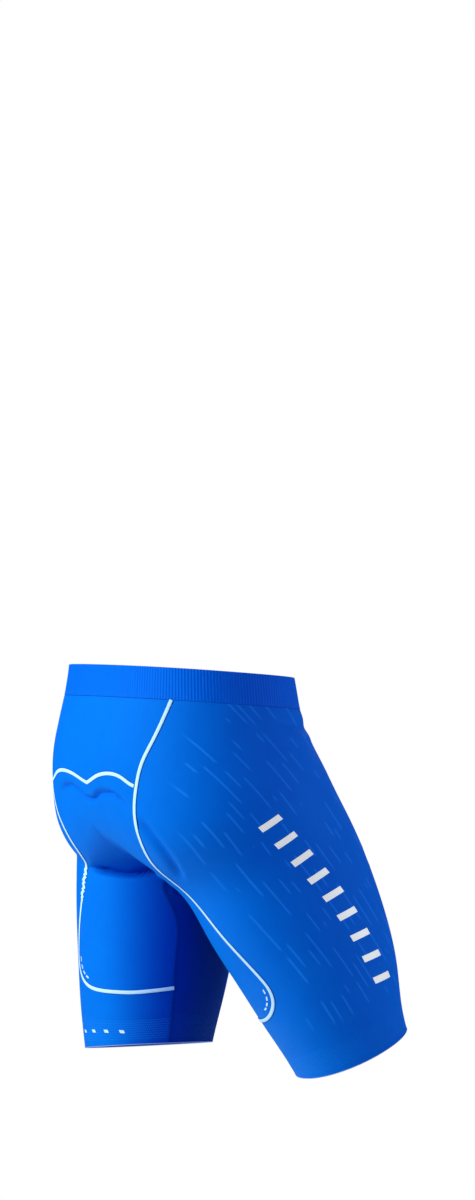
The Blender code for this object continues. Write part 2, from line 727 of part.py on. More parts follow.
def pad_grid():
    """Points over the pad's outer face, rows from its back edge to its front edge."""
    middle = through(middle_points(np.linspace(PAD_START_ANGLE, PAD_END_ANGLE, PAD_KNOTS)), PAD_ROWS)
    headings = unit(np.gradient(middle, axis=0))
    widths = PAD_HALF_WIDTH(np.linspace(0, 1, PAD_ROWS + 1))
    share = np.linspace(0, 1, PAD_CELLS_ACROSS // 2 + 1)
    sides = []
    for sign in (-1, 1):
        track, runs = walk(middle, headings, np.array([sign, 0.0, 0.0]), widths.max())
        side = [
            [np.interp(width * share, run, line[:, i]) for i in range(3)]
            for width, run, line in zip(widths, runs, track)
        ]
        sides.append(np.swapaxes(np.array(side), 1, 2))
    return np.concatenate([sides[0][:, ::-1], sides[1][:, 1:]], axis=1)


def add_pad(material, collection):
    """The soft seat pad inside the panels, with its back edge shaped like a wide M."""
    grid = pad_grid()
    across_share = np.abs(np.linspace(-1, 1, PAD_CELLS_ACROSS + 1))
    lobes = 1 - np.cos(np.pi * np.clip(across_share / PAD_LOBE, 0, 2))
    grid[0] += unit(grid[1] - grid[0]) * (PAD_NOTCH * (1 - lobes / 2))[:, None]
    for row in range(1, PAD_EVEN_ROWS):
        grid[row] = grid[0] + (grid[PAD_EVEN_ROWS] - grid[0]) * row / PAD_EVEN_ROWS
    for rim in (grid[1:, 0], grid[1:, -1]):
        for _ in range(6):
            rim[1:-1] = (rim[:-2] + 2 * rim[1:-1] + rim[2:]) / 4
    grid = relax(settle(grid), 12)
    points, quads = join_patches([grid])
    out = outward_of(points)
    outer = points - out * (CLOTH + PAD_CLEARANCE)
    rows, columns = np.indices(grid.shape[:2])
    from_edge = np.minimum.reduce([rows, PAD_ROWS - rows, columns, PAD_CELLS_ACROSS - columns]).ravel()
    fill = smooth_step(0, PAD_EDGE_CELLS, from_edge.astype(float))
    depths = PAD_EDGE_THICK + (PAD_THICK - PAD_EDGE_THICK) * fill
    add_object("seat_pad", *wall(outer, quads, depths), material, collection)


def make_material(name):
    colour, roughness = COLOURS[name]
    material = bpy.data.materials.new(name)
    material.use_nodes = True
    shader = material.node_tree.nodes["Principled BSDF"]
    shader.inputs["Base Color"].default_value = (*colour, 1)
    shader.inputs["Roughness"].default_value = roughness
    shader.inputs["Metallic"].default_value = 0.0
    return material


def main():
    for old in list(bpy.data.objects):
        bpy.data.objects.remove(old)
    collection = bpy.data.collections.new("cycling_shorts")
    bpy.context.scene.collection.children.link(collection)
    material = {name: make_material(name) for name in COLOURS}
    seams = {side: seams_of(side) for side in LEGS}
    yoke = yoke_patch(seams["right"], seams["left"])
    seats = {side: seat_patches(seams[side]) for side in LEGS}
    outers = {side: side_patches(seams[side]) for side in LEGS}
    add_waistband(material["azure_knit"], collection)
    add_panel("back_yoke", [yoke], material["azure_knit"], collection)
    seat_grids = [grid for side in LEGS for grid in seats[side].values()]
    add_panel("seat_panel", seat_grids, material["azure_knit"], collection)
    for side in LEGS:
        add_panel("side_panel_" + side, outers[side].values(), material["azure_knit"], collection)
        inner = inner_patches(seams[side])
        add_panel("inner_panel_" + side, inner.values(), material["deep_azure_knit"], collection)
        column = yoke[:, 1] if side == "right" else yoke[:, -2]
        add_seam_line(side, seams[side], outers[side], seats[side], column, material["pale_line"], collection)
    add_yoke_line(seams["right"], seams["left"], yoke, seats, material["pale_line"], collection)
    add_pad(material["pad_foam"], collection)


main()
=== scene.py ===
"""Cycling shorts as worn: fine cloth shells, tapes, prints, stitches and a seat pad on the frame.

Metres. The front faces -Y, up is +Z, and the right leg, on -X, is a step forward.
Every shell lies on the form that the CAD panels lie on, so it sits where its panel is.
"""

import bpy
import numpy as np
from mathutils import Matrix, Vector


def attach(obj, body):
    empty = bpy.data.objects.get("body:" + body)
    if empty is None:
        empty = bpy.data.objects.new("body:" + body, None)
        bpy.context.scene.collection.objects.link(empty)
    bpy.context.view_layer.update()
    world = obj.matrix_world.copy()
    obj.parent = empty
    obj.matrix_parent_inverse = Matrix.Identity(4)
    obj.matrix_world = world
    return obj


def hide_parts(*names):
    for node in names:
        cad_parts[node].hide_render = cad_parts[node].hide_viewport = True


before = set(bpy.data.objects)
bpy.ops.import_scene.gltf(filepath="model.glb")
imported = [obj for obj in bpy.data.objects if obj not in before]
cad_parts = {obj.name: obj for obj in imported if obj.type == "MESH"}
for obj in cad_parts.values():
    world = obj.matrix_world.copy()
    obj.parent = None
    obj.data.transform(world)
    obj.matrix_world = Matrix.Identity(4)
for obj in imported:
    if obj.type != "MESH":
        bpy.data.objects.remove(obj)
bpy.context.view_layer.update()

# Cloth and trims
FINE = 8                    # steps of the render mesh along one cell of the CAD panel
CLOTH = 0.0013
BAND_CLOTH = 0.0019
SEAM_GAP = 0.0003
WAIST_RISE = 0.08
BAND_DEPTH = 0.038

# Trunk section: height, half_width, front_depth, back_depth, centre_forward
TRUNK = [
    (-0.26, 0.158, 0.110, 0.105, 0.024),
    (-0.20, 0.166, 0.125, 0.125, 0.018),
    (-0.15, 0.173, 0.134, 0.139, 0.012),
    (-0.10, 0.170, 0.130, 0.141, 0.006),
    (-0.05, 0.160, 0.120, 0.132, 0.004),
    (0.00, 0.152, 0.112, 0.122, 0.004),
    (0.04, 0.150, 0.112, 0.118, 0.000),
]
TRUNK_SQUARENESS = 2.3
TRUNK_BASE = -0.168
TRUNK_BASE_DEPTH = 0.078    # less than the CAD form's, so that the cloth drops clear of the fold
BUTTOCKS = [
    dict(centre=(-0.072, 0.026, -0.165), radii=(0.080, 0.086, 0.080)),
    dict(centre=(0.069, 0.028, -0.167), radii=(0.077, 0.086, 0.084)),
]

# Legs: hip centre, the step that each leg takes, and how its hem plane rises
HIP = dict(aside=0.088, forward=0.032, below=0.170)
LEGS = {
    "right": dict(sign=-1, forward=0.120, outward=0.050, drop=0.283, rise_in=-0.12, rise_back=-0.42),
    "left": dict(sign=1, forward=-0.038, outward=-0.028, drop=0.284, rise_in=0.142, rise_back=0.041),
}
# Thigh section: distance_from_hip, half_width, front_depth, back_depth
THIGHS = {
    "right": [
        (-0.05, 0.086, 0.102, 0.100),
        (0.00, 0.087, 0.110, 0.104),
        (0.06, 0.086, 0.120, 0.104),
        (0.12, 0.085, 0.119, 0.100),
        (0.18, 0.082, 0.112, 0.091),
        (0.24, 0.077, 0.097, 0.082),
        (0.29, 0.071, 0.078, 0.073),
        (0.33, 0.068, 0.070, 0.068),
    ],
    "left": [
        (-0.05, 0.086, 0.100, 0.100),
        (0.00, 0.087, 0.106, 0.104),
        (0.06, 0.086, 0.112, 0.104),
        (0.12, 0.085, 0.108, 0.100),
        (0.18, 0.083, 0.099, 0.093),
        (0.24, 0.080, 0.086, 0.085),
        (0.29, 0.073, 0.076, 0.077),
        (0.33, 0.068, 0.072, 0.070),
    ],
}
THIGH_SQUARENESS = 2.1
THIGH_TOP_DEPTH = 0.10
BLEND = dict(buttocks=0.050, seat=0.045, right=0.060, left=0.050, fold=0.012)
TRUNK_REACH = 0.24
THIGH_REACH = 0.16
CURVE_STOPS = np.linspace(-0.75, 0.75, 6001)

# Seam down the back of each leg. Trunk part: height, angle_right, angle_left
SEAT_SEAM_TRUNK = [
    (-0.040, 52.0, 56.0),
    (-0.079, 43.7, 50.0),
    (-0.105, 38.8, 46.5),
    (-0.132, 36.0, 43.0),
    (-0.150, 34.8, 40.5),
    (-0.168, 34.4, 37.5),
    (-0.187, 35.2, 34.8),
    (-0.206, 37.0, 34.6),
    (-0.222, 39.8, 37.5),
]
# Thigh part: distance_from_hip, angle
SEAT_SEAM_THIGH = [
    (0.081, 90.0),
    (0.110, 84.5),
    (0.145, 77.5),
    (0.172, 72.5),
    (0.190, 70.5),
    (0.204, 72.5),
    (0.216, 79.0),
    (0.2245, 89.5),
    (0.2285, 102.0),
    (0.2300, 116.0),
    (0.2300, 129.0),
    (0.2270, 146.0),
    (0.2220, 165.0),
]
YOKE_POINT_ROW = 3
KNEE_CORNER_ROW = 6
INNER_BACK_ANGLE = 165.0
INNER_FRONT_ANGLE = -128.0
INNER_FRONT_LEVEL = 0.222
INNER_LEVEL_ANGLE = -161.0
INNER_BACK_STOPS = (0.15, 0.185)
INNER_FRONT_STOPS = (0.13, 0.18, INNER_FRONT_LEVEL)
KNEE_CORNER_ANGLE = 62.0
SIDE_LIFT = 0.03
# Wavy seam under the yoke: share of the way to the side, height
YOKE_SEAM = [
    (0.00, -0.1300),
    (0.10, -0.1268),
    (0.24, -0.1220),
    (0.42, -0.1182),
    (0.60, -0.1178),
    (0.76, -0.1215),
    (0.90, -0.1285),
    (1.00, -0.1320),
]
MIDDLE_CENTRE_HEIGHT = -0.14
FORK_BACK_ANGLE = 68.0
FORK_FRONT_ANGLE = 118.0
FORK_LEAN = 0.085
CELLS = dict(
    waist_to_yoke=6, yoke_to_fold=8, fold_to_corner=9, corner_to_hem=4,
    seat_across=8, side_across=18, fork=5,
)

# Creases: signed angle from straight back (left is positive), height; depth, width
PAD_EDGE_CREASE = [
    (35, -0.155), (31, -0.147), (25, -0.138), (18.9, -0.136), (11.6, -0.141), (5.2, -0.1490),
    (0.5, -0.1508), (-4.2, -0.1485), (-8.4, -0.1432), (-12.6, -0.1415), (-20, -0.1432), (-27, -0.152),
    (-33, -0.163),
]
TRUNK_CREASES = [
    dict(rows=PAD_EDGE_CREASE, depth=0.0052, width=0.0034, over=0.0042, shoulder=0.05),
    dict(rows=[(-34, -0.165), (-40, -0.179), (-46, -0.197), (-53, -0.223), (-58, -0.246)],
         depth=0.0044, width=0.0066, over=0.0044, shoulder=0.10),
    dict(rows=[(160, -0.188), (172, -0.212), (184, -0.228)], depth=0.0026, width=0.0050),
    dict(rows=[(152, -0.172), (138, -0.186), (120, -0.196)], depth=0.0024, width=0.0056),
    dict(rows=[(150, -0.206), (136, -0.214), (118, -0.216)], depth=0.0018, width=0.0050),
    dict(rows=[(-174, -0.146), (-160, -0.158), (-146, -0.166)], depth=0.0020, width=0.0058),
    dict(rows=[(-180, -0.176), (-164, -0.188), (-146, -0.194)], depth=0.0026, width=0.0050),
    dict(rows=[(-184, -0.200), (-168, -0.212), (-152, -0.220)], depth=0.0024, width=0.0046),
    dict(rows=[(100, -0.058), (122, -0.066), (150, -0.063)], depth=0.0013, width=0.0056),
    dict(rows=[(-95, -0.056), (-120, -0.066), (-155, -0.062)], depth=0.0014, width=0.0060),
    dict(rows=[(60, -0.076), (80, -0.084), (104, -0.084)], depth=0.0010, width=0.0056),
]
# Hollow under the left buttock: signed angle, height of its top edge and of the fold below it
HOLLOW = [
    (-39, -0.2330, -0.2345),
    (-28, -0.2232, -0.2385),
    (-18.7, -0.2153, -0.2402),
    (-5.3, -0.1960, -0.2430),
    (5.4, -0.1790, -0.2443),
    (22, -0.2040, -0.2440),
    (34, -0.2260, -0.2410),
    (45, -0.2360, -0.2362),
]
HOLLOW_SHAPE = dict(depth=0.0115, full_at=0.014, lip=0.0026, fold=0.0038, fold_width=0.0026, reach=0.08)
HOLLOW_SIZE = [(-39, 0.2), (-26, 0.45), (-12, 0.9), (4, 1.0), (34, 1.0), (45, 0.6)]
HOLLOW_BELLY = [(5, 1.0), (20, 1.7)]
# How a crease tapers at its ends, and the soft shoulder beside it, in widths of the crease
CREASE = dict(step=0.002, taper=0.22, reach=3.5, shoulder=0.42, shoulder_at=2.1, shoulder_width=0.9)
CREASE_FACING = (0.2, 0.7)

# Creases on the thighs: distance_from_hip, angle
THIGH_CREASES = [
    dict(side="left", rows=[(0.090, 150), (0.104, 168), (0.118, 190)], depth=0.0020, width=0.0046),
    dict(side="left", rows=[(0.056, -112), (0.078, -84), (0.088, -52)], depth=0.0024, width=0.0056),
    dict(side="left", rows=[(0.100, -122), (0.112, -100), (0.112, -78)], depth=0.0017, width=0.0048),
    dict(side="left", rows=[(0.204, 38), (0.214, 10), (0.208, -26)], depth=0.0009, width=0.0060),
    dict(side="right", rows=[(0.070, 150), (0.092, 172), (0.110, 196)], depth=0.0022, width=0.0050),
    dict(side="right", rows=[(0.088, -120), (0.104, -96), (0.108, -68)], depth=0.0022, width=0.0056),
    dict(side="right", rows=[(0.130, -128), (0.142, -108), (0.142, -88)], depth=0.0018, width=0.0050),
    dict(side="right", rows=[(0.213, 150), (0.222, 172), (0.219, 196)], depth=0.0012, width=0.0050),
]

# Painted shade on the thighs, darkening the azure toward the inner panel: angle round each thigh where it
# begins
FADE_START = dict(right=140.0, left=100.0)
FADE_END = 200.0            # angle on the inner panel where the last of the painted shade is gone
FADE_SKIN = (0.014, 0.006)  # distance off the thigh over which the fade comes in
FADE_TOP = (0.03, 0.09)     # distance from the hip over which it comes in
# Share of the painted shade colour on the azure panels and on the inner panels
FADE_SHARE = 0.8
INNER_FADE_SHARE = 0.6
SUNK_FULL = 0.013           # depth of a crease at which its cloth takes the most painted shade
# Share of the painted shade colour in the deepest creases
CREASE_SHADE_SHARE = 0.6

# Tape over a seam: half width, and how high its crown and its edges stand on the cloth
TAPE_HALF = 0.0027
TAPE_CROWN = 0.00085
TAPE_EDGE = 0.00025
TAPE_STOPS = (-1.0, -0.86, -0.55, 0.0, 0.55, 0.86, 1.0)
TAPE_UNDER = 0.0002         # how far its underside sinks into the cloth
TAPE_STEP = 0.0012
TAPE_TRIM = 3               # steps that the yoke's tape stops short of the seams it meets
PUCKER = dict(pitch=0.0058, swing=0.0018, swell=0.5, stops=(0.0, 0.006, 0.034, 0.046))
PUCKER_DRIFT = dict(size=1.2, rate=700)
TAPE_SAG = 0.55             # share of a crease's depth that the stiffer tape follows

# Plain slanted bars down the right thigh: distance_from_hip, angle of the middle of the row
BAR_ROW = [(0.004, 17.0), (0.080, -2.5), (0.160, -18.5), (0.240, -28.5)]
BAR = dict(count=9, length=0.030, width=0.0085, slant=0.30, from_end=0.004)
KNEE_DASH = dict(stops=(-0.030, -0.017, -0.005, 0.006), inset=0.0085, length=0.0058, width=0.0022, slant=0.3)
HEM_TICK = dict(along=0.2767, angles=(74, 90, 106, 122), length=0.0062, width=0.0036, slant=0.25)
PRINT_LIFT = 0.00012        # gap between a printed film and the cloth
PRINT_THICK = 0.00016
MARK_STEP = 0.001           # steps along the lines that marks are set out from

# Lean of the dashes from upright in the side view: how far below the waist, degrees forward
STRIPE_LEAN = {
    "right": [(0.00, 42), (0.12, 40), (0.30, 35), (0.38, 31), (0.50, 28)],
    "left": [(0.00, 40), (0.12, 34), (0.20, 18), (0.32, 6), (0.50, 0)],
}
STRIPE_FALL = np.linspace(0, 0.52, 105)
STRIPE_FACING = (0.30, 0.75)
STRIPE_FROM_SEAM = (0.030, 0.060)
STRIPE_FROM_HEM = (0.050, 0.066)

# Waistband: mesh columns, depth where the turned top begins, and how far the elastic swells
BAND = dict(columns=432, turn_at=0.0012, rows=13, turn_rows=7, swell=0.00035, run=0.90)

# Stitches: offsets either side of the line, and each stitch's pitch, length, radius and lean
SEAM_STITCH = dict(offsets=(-0.0016, 0.0016), pitch=0.0024, length=0.0030, thick=0.00024, slant=38)
BAND_STITCH = dict(offsets=(-0.0013, 0.0013), pitch=0.0034, length=0.0026, thick=0.00026, slant=0)
BAND_STITCH_RISE = 0.0035
BAND_STITCH_STOPS = 400
STITCH_SHAPE = [(-0.5, 0.0), (-0.38, 0.8), (0.0, 1.0), (0.38, 0.8), (0.5, 0.0)]
STITCH_SIDES = 6

# Raw hem edge: rise off the cloth, drop below the panel's edge
HEM_PROFILE = [
    (0.0003, -0.0001), (0.0003, 0.0005), (-0.0003, 0.0009), (-0.0014, 0.0009), (-0.0018, 0.0005),
    (-0.0018, -0.0001),
]

# Slack of the cloth: wave numbers, phase, height
WAVES = [
    ((31, 17, 9), 0.4, 0.00022), ((-14, 37, 21), 1.7, 0.00018), ((11, -23, 44), 2.9, 0.00015),
    ((52, 8, -33), 0.9, 0.00010),
]

COLOURS = dict(
    azure=(0.000, 0.178, 0.685),
    azure_dark=(0.000, 0.150, 0.625),
    stripe=(0.012, 0.270, 0.860),
    deep=(0.000, 0.036, 0.235),
    deep_dark=(0.000, 0.029, 0.200),
    # painted shade, mixed into the cloth toward the inner panels and in creases
    shade=(0.000, 0.024, 0.420),
    band=(0.000, 0.150, 0.700),
    # painted shade in the valleys of the waistband ribs
    band_valley_shade=(0.000, 0.115, 0.600),
    pale=(0.620, 0.905, 0.960),
    pale_worn=(0.500, 0.840, 0.950),
    pale_cracked=(0.500, 0.800, 0.920),
    # painted shadow along the edges of the tapes
    tape_edge_shadow=(0.000, 0.055, 0.330),
    silver=(0.950, 0.930, 0.700),
    silver_worn=(0.860, 0.850, 0.660),
    pad=(0.000, 0.060, 0.360),
    thread=(0.010, 0.200, 0.780),
    raw_edge=(0.300, 0.450, 0.800),
)
STRIPE_SHARE = 0.7
SIDE_DOTS_SHARE = 0.32
INNER_DOTS_SHARE = 0.06
# Painted light: the silver print glows in its own colour, though it is no lamp
SILVER_PAINTED_GLOW = 0.33
KNIT_RELIEF = 0.00022
RIB_PITCH = 0.0018


def make_spline(xs, ys):
    """Natural cubic spline through the rows, straight past its ends."""
    xs, ys = np.asarray(xs, float), np.asarray(ys, float)
    n = len(xs)
    upright = (-1,) + (1,) * (ys.ndim - 1)
    h = np.diff(xs)
    slopes = np.diff(ys, axis=0) / h.reshape(upright)
    system = np.eye(n)
    right = np.zeros_like(ys)
    for i in range(1, n - 1):
        system[i, i - 1:i + 2] = h[i - 1], 2 * (h[i - 1] + h[i]), h[i]
        right[i] = 6 * (slopes[i] - slopes[i - 1])
    bend = np.linalg.solve(system, right)
    start = slopes[0] - h[0] * bend[1] / 6
    end = slopes[-1] + h[-1] * bend[-2] / 6

    def curve(x):
        inside = np.clip(x, xs[0], xs[-1])
        i = np.clip(np.searchsorted(xs, inside) - 1, 0, n - 2)
        spans = inside - xs[i], xs[i + 1] - inside, h[i], np.minimum(0, x - xs[0]), np.maximum(0, x - xs[-1])
        before, after, width, early, late = (span.reshape(upright) for span in spans)
        y = (bend[i] * after**3 + bend[i + 1] * before**3) / (6 * width)
        y = y + (ys[i] / width - bend[i] * width / 6) * after
        y = y + (ys[i + 1] / width - bend[i + 1] * width / 6) * before
        return y + start * early + end * late

    return curve


def table_curves(table):
    """A curve for each column of a table over its first, as close straight steps, quick to read."""
    rows = np.array(table)
    columns = make_spline(rows[:, 0], rows[:, 1:])(CURVE_STOPS).T
    return [lambda x, values=values: np.interp(x, CURVE_STOPS, values) for values in columns]


TRUNK_CURVES = table_curves(TRUNK)
THIGH_CURVES = {side: table_curves(table) for side, table in THIGHS.items()}


def smooth_step(low, high, x):
    t = np.clip((x - low) / (high - low), 0, 1)
    return t * t * (3 - 2 * t)


def window(x, start, full, fading, end):
    """1 from full to fading, eased to 0 at start and at end."""
    return smooth_step(start, full, x) * smooth_step(end, fading, x)


def bell(x, width):
    return np.exp(-((x / width) ** 2))


def unit(v):
    return v / (np.linalg.norm(v, axis=-1, keepdims=True) + 1e-12)


def blend(a, b, width):
    """Smaller of two distances, rounded where they are nearly equal."""
    overlap = np.maximum(width - np.abs(a - b), 0) / width
    return np.minimum(a, b) - overlap**3 * width / 6


def rounded_distance(offset, radii, squareness):
    """Rough distance to a rounded solid about its centre."""
    length = np.linalg.norm(offset, axis=-1) + 1e-9
    share = (np.abs(offset / radii) ** squareness).sum(-1) ** (1 / squareness) + 1e-9
    return length * (1 - 1 / share)


def leg_frame(side):
    """Hip point, hem point, and the down, outward and back directions of a leg."""
    leg = LEGS[side]
    sign = leg["sign"]
    hip = np.array([sign * HIP["aside"], -HIP["forward"], -HIP["below"]])
    hem = hip + np.array([sign * leg["outward"], -leg["forward"], -leg["drop"]])
    down = unit(hem - hip)
    outward = unit(np.array([sign, 0, 0]) - sign * down[0] * down)
    back = np.cross(outward, down) * sign
    return hip, hem, down, outward, back if back[1] > 0 else -back


LEG_FRAMES = {side: leg_frame(side) for side in LEGS}


def hem_plane(side):
    """A point on the hem plane and its normal, down the leg."""
    leg = LEGS[side]
    return LEG_FRAMES[side][1], unit(np.array([-leg["sign"] * leg["rise_in"], leg["rise_back"], -1.0]))


def trunk_distance(p):
    half_width, front, back, forward = (curve(p[..., 2]) for curve in TRUNK_CURVES)
    y = p[..., 1] + forward
    depth = np.where(y < 0, front, back)
    below = np.minimum(0, p[..., 2] - TRUNK_BASE)
    radii = np.stack([half_width, depth, np.full_like(depth, TRUNK_BASE_DEPTH)], -1)
    return rounded_distance(np.stack([p[..., 0], y, below], -1), radii, TRUNK_SQUARENESS)


def thigh_distance(p, side):
    hip, _, down, outward, back = LEG_FRAMES[side]
    from_hip = p - hip
    along = from_hip @ down
    half_width, front, rear = (curve(along) for curve in THIGH_CURVES[side])
    y = from_hip @ back
    depth = np.where(y < 0, front, rear)
    radii = np.stack([half_width, depth, np.full_like(depth, THIGH_TOP_DEPTH)], -1)
    offset = np.stack([from_hip @ outward, y, np.minimum(0, along)], -1)
    return rounded_distance(offset, radii, THIGH_SQUARENESS)


def form(p):
    """Rough distance to the outside of the worn shorts: negative inside, zero on the cloth."""
    lobes = [rounded_distance(p - np.array(b["centre"]), np.array(b["radii"]), 2) for b in BUTTOCKS]
    seat = blend(trunk_distance(p), blend(*lobes, BLEND["buttocks"]), BLEND["seat"])
    with_right = blend(seat, thigh_distance(p, "right"), BLEND["right"])
    under_seat = smooth_step(0.0, 0.06, p[..., 1]) * smooth_step(-0.15, -0.19, p[..., 2])
    in_fork = smooth_step(-0.19, -0.23, p[..., 2]) * smooth_step(0.07, 0.03, np.abs(p[..., 0]))
    in_fork = in_fork * smooth_step(-0.10, -0.055, p[..., 1])
    width = BLEND["left"] + (BLEND["fold"] - BLEND["left"]) * np.maximum(under_seat, in_fork)
    return blend(with_right, thigh_distance(p, "left"), width)


def slope_of(p):
    step = 0.0005
    return np.stack([form(p + s) - form(p - s) for s in step * np.eye(3)], -1) / (2 * step)


def outward_of(p):
    return unit(slope_of(p))


def settle(p, rounds=8):
    """Move points along the form's slope until they lie on the cloth."""
    for _ in range(rounds):
        slope = slope_of(p)
        size = (slope**2).sum(-1, keepdims=True)
        p = p - form(p)[..., None] * slope / np.maximum(size, 0.25)
    return p


def cast(origin, directions, reach=TRUNK_REACH, steps=241):
    """First point where each ray leaves the form."""
    directions = np.atleast_2d(directions)
    lengths = np.linspace(0, reach, steps)
    values = form(origin + directions[:, None, :] * lengths[None, :, None])
    first = np.argmax(values > 0, axis=1)
    rows = np.arange(len(directions))
    inner, outer = values[rows, first - 1], values[rows, first]
    length = lengths[first - 1] + (lengths[1] - lengths[0]) * inner / (inner - outer)
    return settle(origin + directions * length[:, None], 3)


def trunk_points(rows, sign):
    """Points on the trunk from rows of height and angle from straight back."""
    found = []
    for height, angle in rows:
        turn = np.radians(angle)
        found.append(cast(np.array([0, 0, height]), np.array([sign * np.sin(turn), np.cos(turn), 0]))[0])
    return np.array(found)


def thigh_points(rows, side):
    """Points on a thigh from rows of distance from the hip and angle round it."""
    hip, _, down, outward, back = LEG_FRAMES[side]
    found = []
    for along, angle in rows:
        turn = np.radians(angle)
        direction = np.cos(turn) * outward + np.sin(turn) * back
        found.append(cast(hip + down * along, direction, THIGH_REACH)[0])
    return np.array(found)


def hem_points(side, angles):
    """Points on the hem at angles round the thigh."""
    _, _, down, outward, back = LEG_FRAMES[side]
    point, normal = hem_plane(side)
    turn = np.radians(angles)[:, None]
    directions = np.cos(turn) * outward + np.sin(turn) * back
    flat = directions - (directions @ normal)[:, None] / (down @ normal) * down
    return cast(point, unit(flat), THIGH_REACH)


def middle_points(angles):
    """Points where the middle plane meets the form."""
    turn = np.radians(angles)
    directions = np.stack([-FORK_LEAN * np.sin(turn)**2, np.cos(turn), -np.sin(turn)], -1)
    return cast(np.array([0, 0, MIDDLE_CENTRE_HEIGHT]), unit(directions))


def run_along(points):
    """Distance along a line of points, from its start to each of them."""
    return np.concatenate([[0], np.cumsum(np.linalg.norm(np.diff(points, axis=0), axis=1))])


def through(knots, steps, start=0, end=None):
    """Even steps along a smooth curve on the form, from knot start to knot end."""
    knots = np.asarray(knots)
    end = len(knots) - 1 if end is None else end
    marks = run_along(knots)
    fine = np.linspace(marks[start], marks[end], 6 * steps + 1)
    curve = settle(make_spline(marks, knots)(fine), 4)
    run = run_along(curve)
    even = np.linspace(0, run[-1], steps + 1)
    points = np.stack([np.interp(even, run, curve[:, i]) for i in range(3)], -1)
    points[1:-1] = settle(points[1:-1], 3)
    return points


def waist_ring(depth, angles):
    """Points round the waist at a depth below its edge, at angles from straight back."""
    turn = np.radians(angles)
    directions = unit(np.stack([np.sin(turn), np.cos(turn), WAIST_RISE * np.cos(turn)], -1))
    return cast(np.array([0, 0, -depth]), directions)


def seams_of(side):
    """Every seam curve of one half, as sample points, named for its two ends."""
    sign = LEGS[side]["sign"]
    drop = LEGS[side]["drop"]
    column = 1 if side == "right" else 2
    c = {name: cells * FINE for name, cells in CELLS.items()}
    join = np.concatenate
    start_angle = SEAT_SEAM_TRUNK[0][column]
    waist_start = waist_ring(BAND_DEPTH, np.array([sign * start_angle]))
    upper = trunk_points([(row[0], row[column]) for row in SEAT_SEAM_TRUNK[1:]], sign)
    knots = join([waist_start, upper, thigh_points(SEAT_SEAM_THIGH, side)])
    fold = len(SEAT_SEAM_TRUNK)
    corner = fold + KNEE_CORNER_ROW
    s = {}
    s["waist_yoke"] = through(knots, c["waist_to_yoke"], 0, YOKE_POINT_ROW)
    s["yoke_fold"] = through(knots, c["yoke_to_fold"], YOKE_POINT_ROW, fold)
    s["fold_corner"] = through(knots, c["fold_to_corner"], fold, corner)
    s["corner_inner"] = through(knots, c["seat_across"], corner)
    stretches = list(s.values())
    for before, after in zip(stretches, stretches[1:]):
        after[0] = before[-1]
    yoke_angle = SEAT_SEAM_TRUNK[YOKE_POINT_ROW][column]
    wave = trunk_points([(height, share * yoke_angle) for share, height in YOKE_SEAM], sign)
    wave[-1] = s["waist_yoke"][-1]
    s["yoke_centre"] = through(wave[::-1], c["seat_across"])

    back_angle = np.degrees(np.arctan2(MIDDLE_CENTRE_HEIGHT - YOKE_SEAM[0][1], wave[0, 1]))
    middle_back = middle_points(np.linspace(back_angle, FORK_BACK_ANGLE, 9))
    middle_back[0] = s["yoke_centre"][-1]
    s["centre_back"] = through(middle_back, c["yoke_to_fold"])
    s["fork"] = through(middle_points(np.linspace(FORK_BACK_ANGLE, FORK_FRONT_ANGLE, 7)), c["fork"])
    s["centre_back"][-1] = s["fork"][0]
    front_start = waist_ring(BAND_DEPTH, np.array([180.0]))
    front_angle = np.degrees(np.arctan2(MIDDLE_CENTRE_HEIGHT - front_start[0, 2], front_start[0, 1]))
    middle_front = middle_points(np.linspace(front_angle % 360, FORK_FRONT_ANGLE, 9)[1:])
    middle_front[-1] = s["fork"][-1]
    s["centre_front"] = through(join([front_start, middle_front]), c["waist_to_yoke"] + c["yoke_to_fold"])

    stops = INNER_BACK_ANGLE, KNEE_CORNER_ANGLE, INNER_FRONT_ANGLE
    hem_back, hem_corner, hem_front = (hem_points(side, np.array([angle])) for angle in stops)
    inner_back = thigh_points([(along, INNER_BACK_ANGLE) for along in INNER_BACK_STOPS], side)
    inner_front = thigh_points([(along, INNER_FRONT_ANGLE) for along in INNER_FRONT_STOPS], side)
    back_tail = thigh_points([((SEAT_SEAM_THIGH[-1][0] + drop) / 2, INNER_BACK_ANGLE)], side)
    front_tail = thigh_points([((INNER_FRONT_LEVEL + drop) / 2, INNER_FRONT_ANGLE)], side)
    level = thigh_points([(INNER_FRONT_LEVEL, INNER_LEVEL_ANGLE)], side)
    last, front_end = knots[-1:], inner_front[-1:]
    s["fork_inner_back"] = through(join([s["fork"][:1], inner_back, last]), c["fold_to_corner"])
    s["inner_back_hem"] = through(join([last, back_tail, hem_back]), c["corner_to_hem"])
    s["fork_inner_front"] = through(join([s["fork"][-1:], inner_front]), c["fold_to_corner"])
    s["inner_front_hem"] = through(join([front_end, front_tail, hem_front]), c["corner_to_hem"])
    s["corner_hem"] = through(join([s["fold_corner"][-1:], hem_corner]), c["corner_to_hem"])
    s["inner_level"] = through(join([last, level, front_end]), c["fork"])
    s["hem_back"] = hem_points(side, np.linspace(stops[0], stops[1], c["seat_across"] + 1))
    s["hem_side"] = hem_points(side, np.linspace(stops[1], stops[2], c["side_across"] + 1))
    s["hem_inner"] = hem_points(side, np.linspace(stops[0], stops[2] + 360, c["fork"] + 1))

    mix = np.linspace(0, 1, c["seat_across"] + 1)[:, None]
    a, b = s["yoke_fold"][-1], s["fork"][0]
    s["fold_fork"] = settle(a + (b - a) * mix, 12)
    s["fold_side"] = round_thigh(side, a, s["fork"][-1], SIDE_LIFT, c["side_across"])
    s["corner_side"] = round_thigh(side, s["fold_corner"][-1], inner_front[-1], 0.0, c["side_across"])
    s["waist_back"] = waist_ring(BAND_DEPTH, sign * np.linspace(start_angle, 0, c["seat_across"] + 1))
    s["waist_side"] = waist_ring(BAND_DEPTH, sign * np.linspace(start_angle, 180, c["side_across"] + 1))
    return s


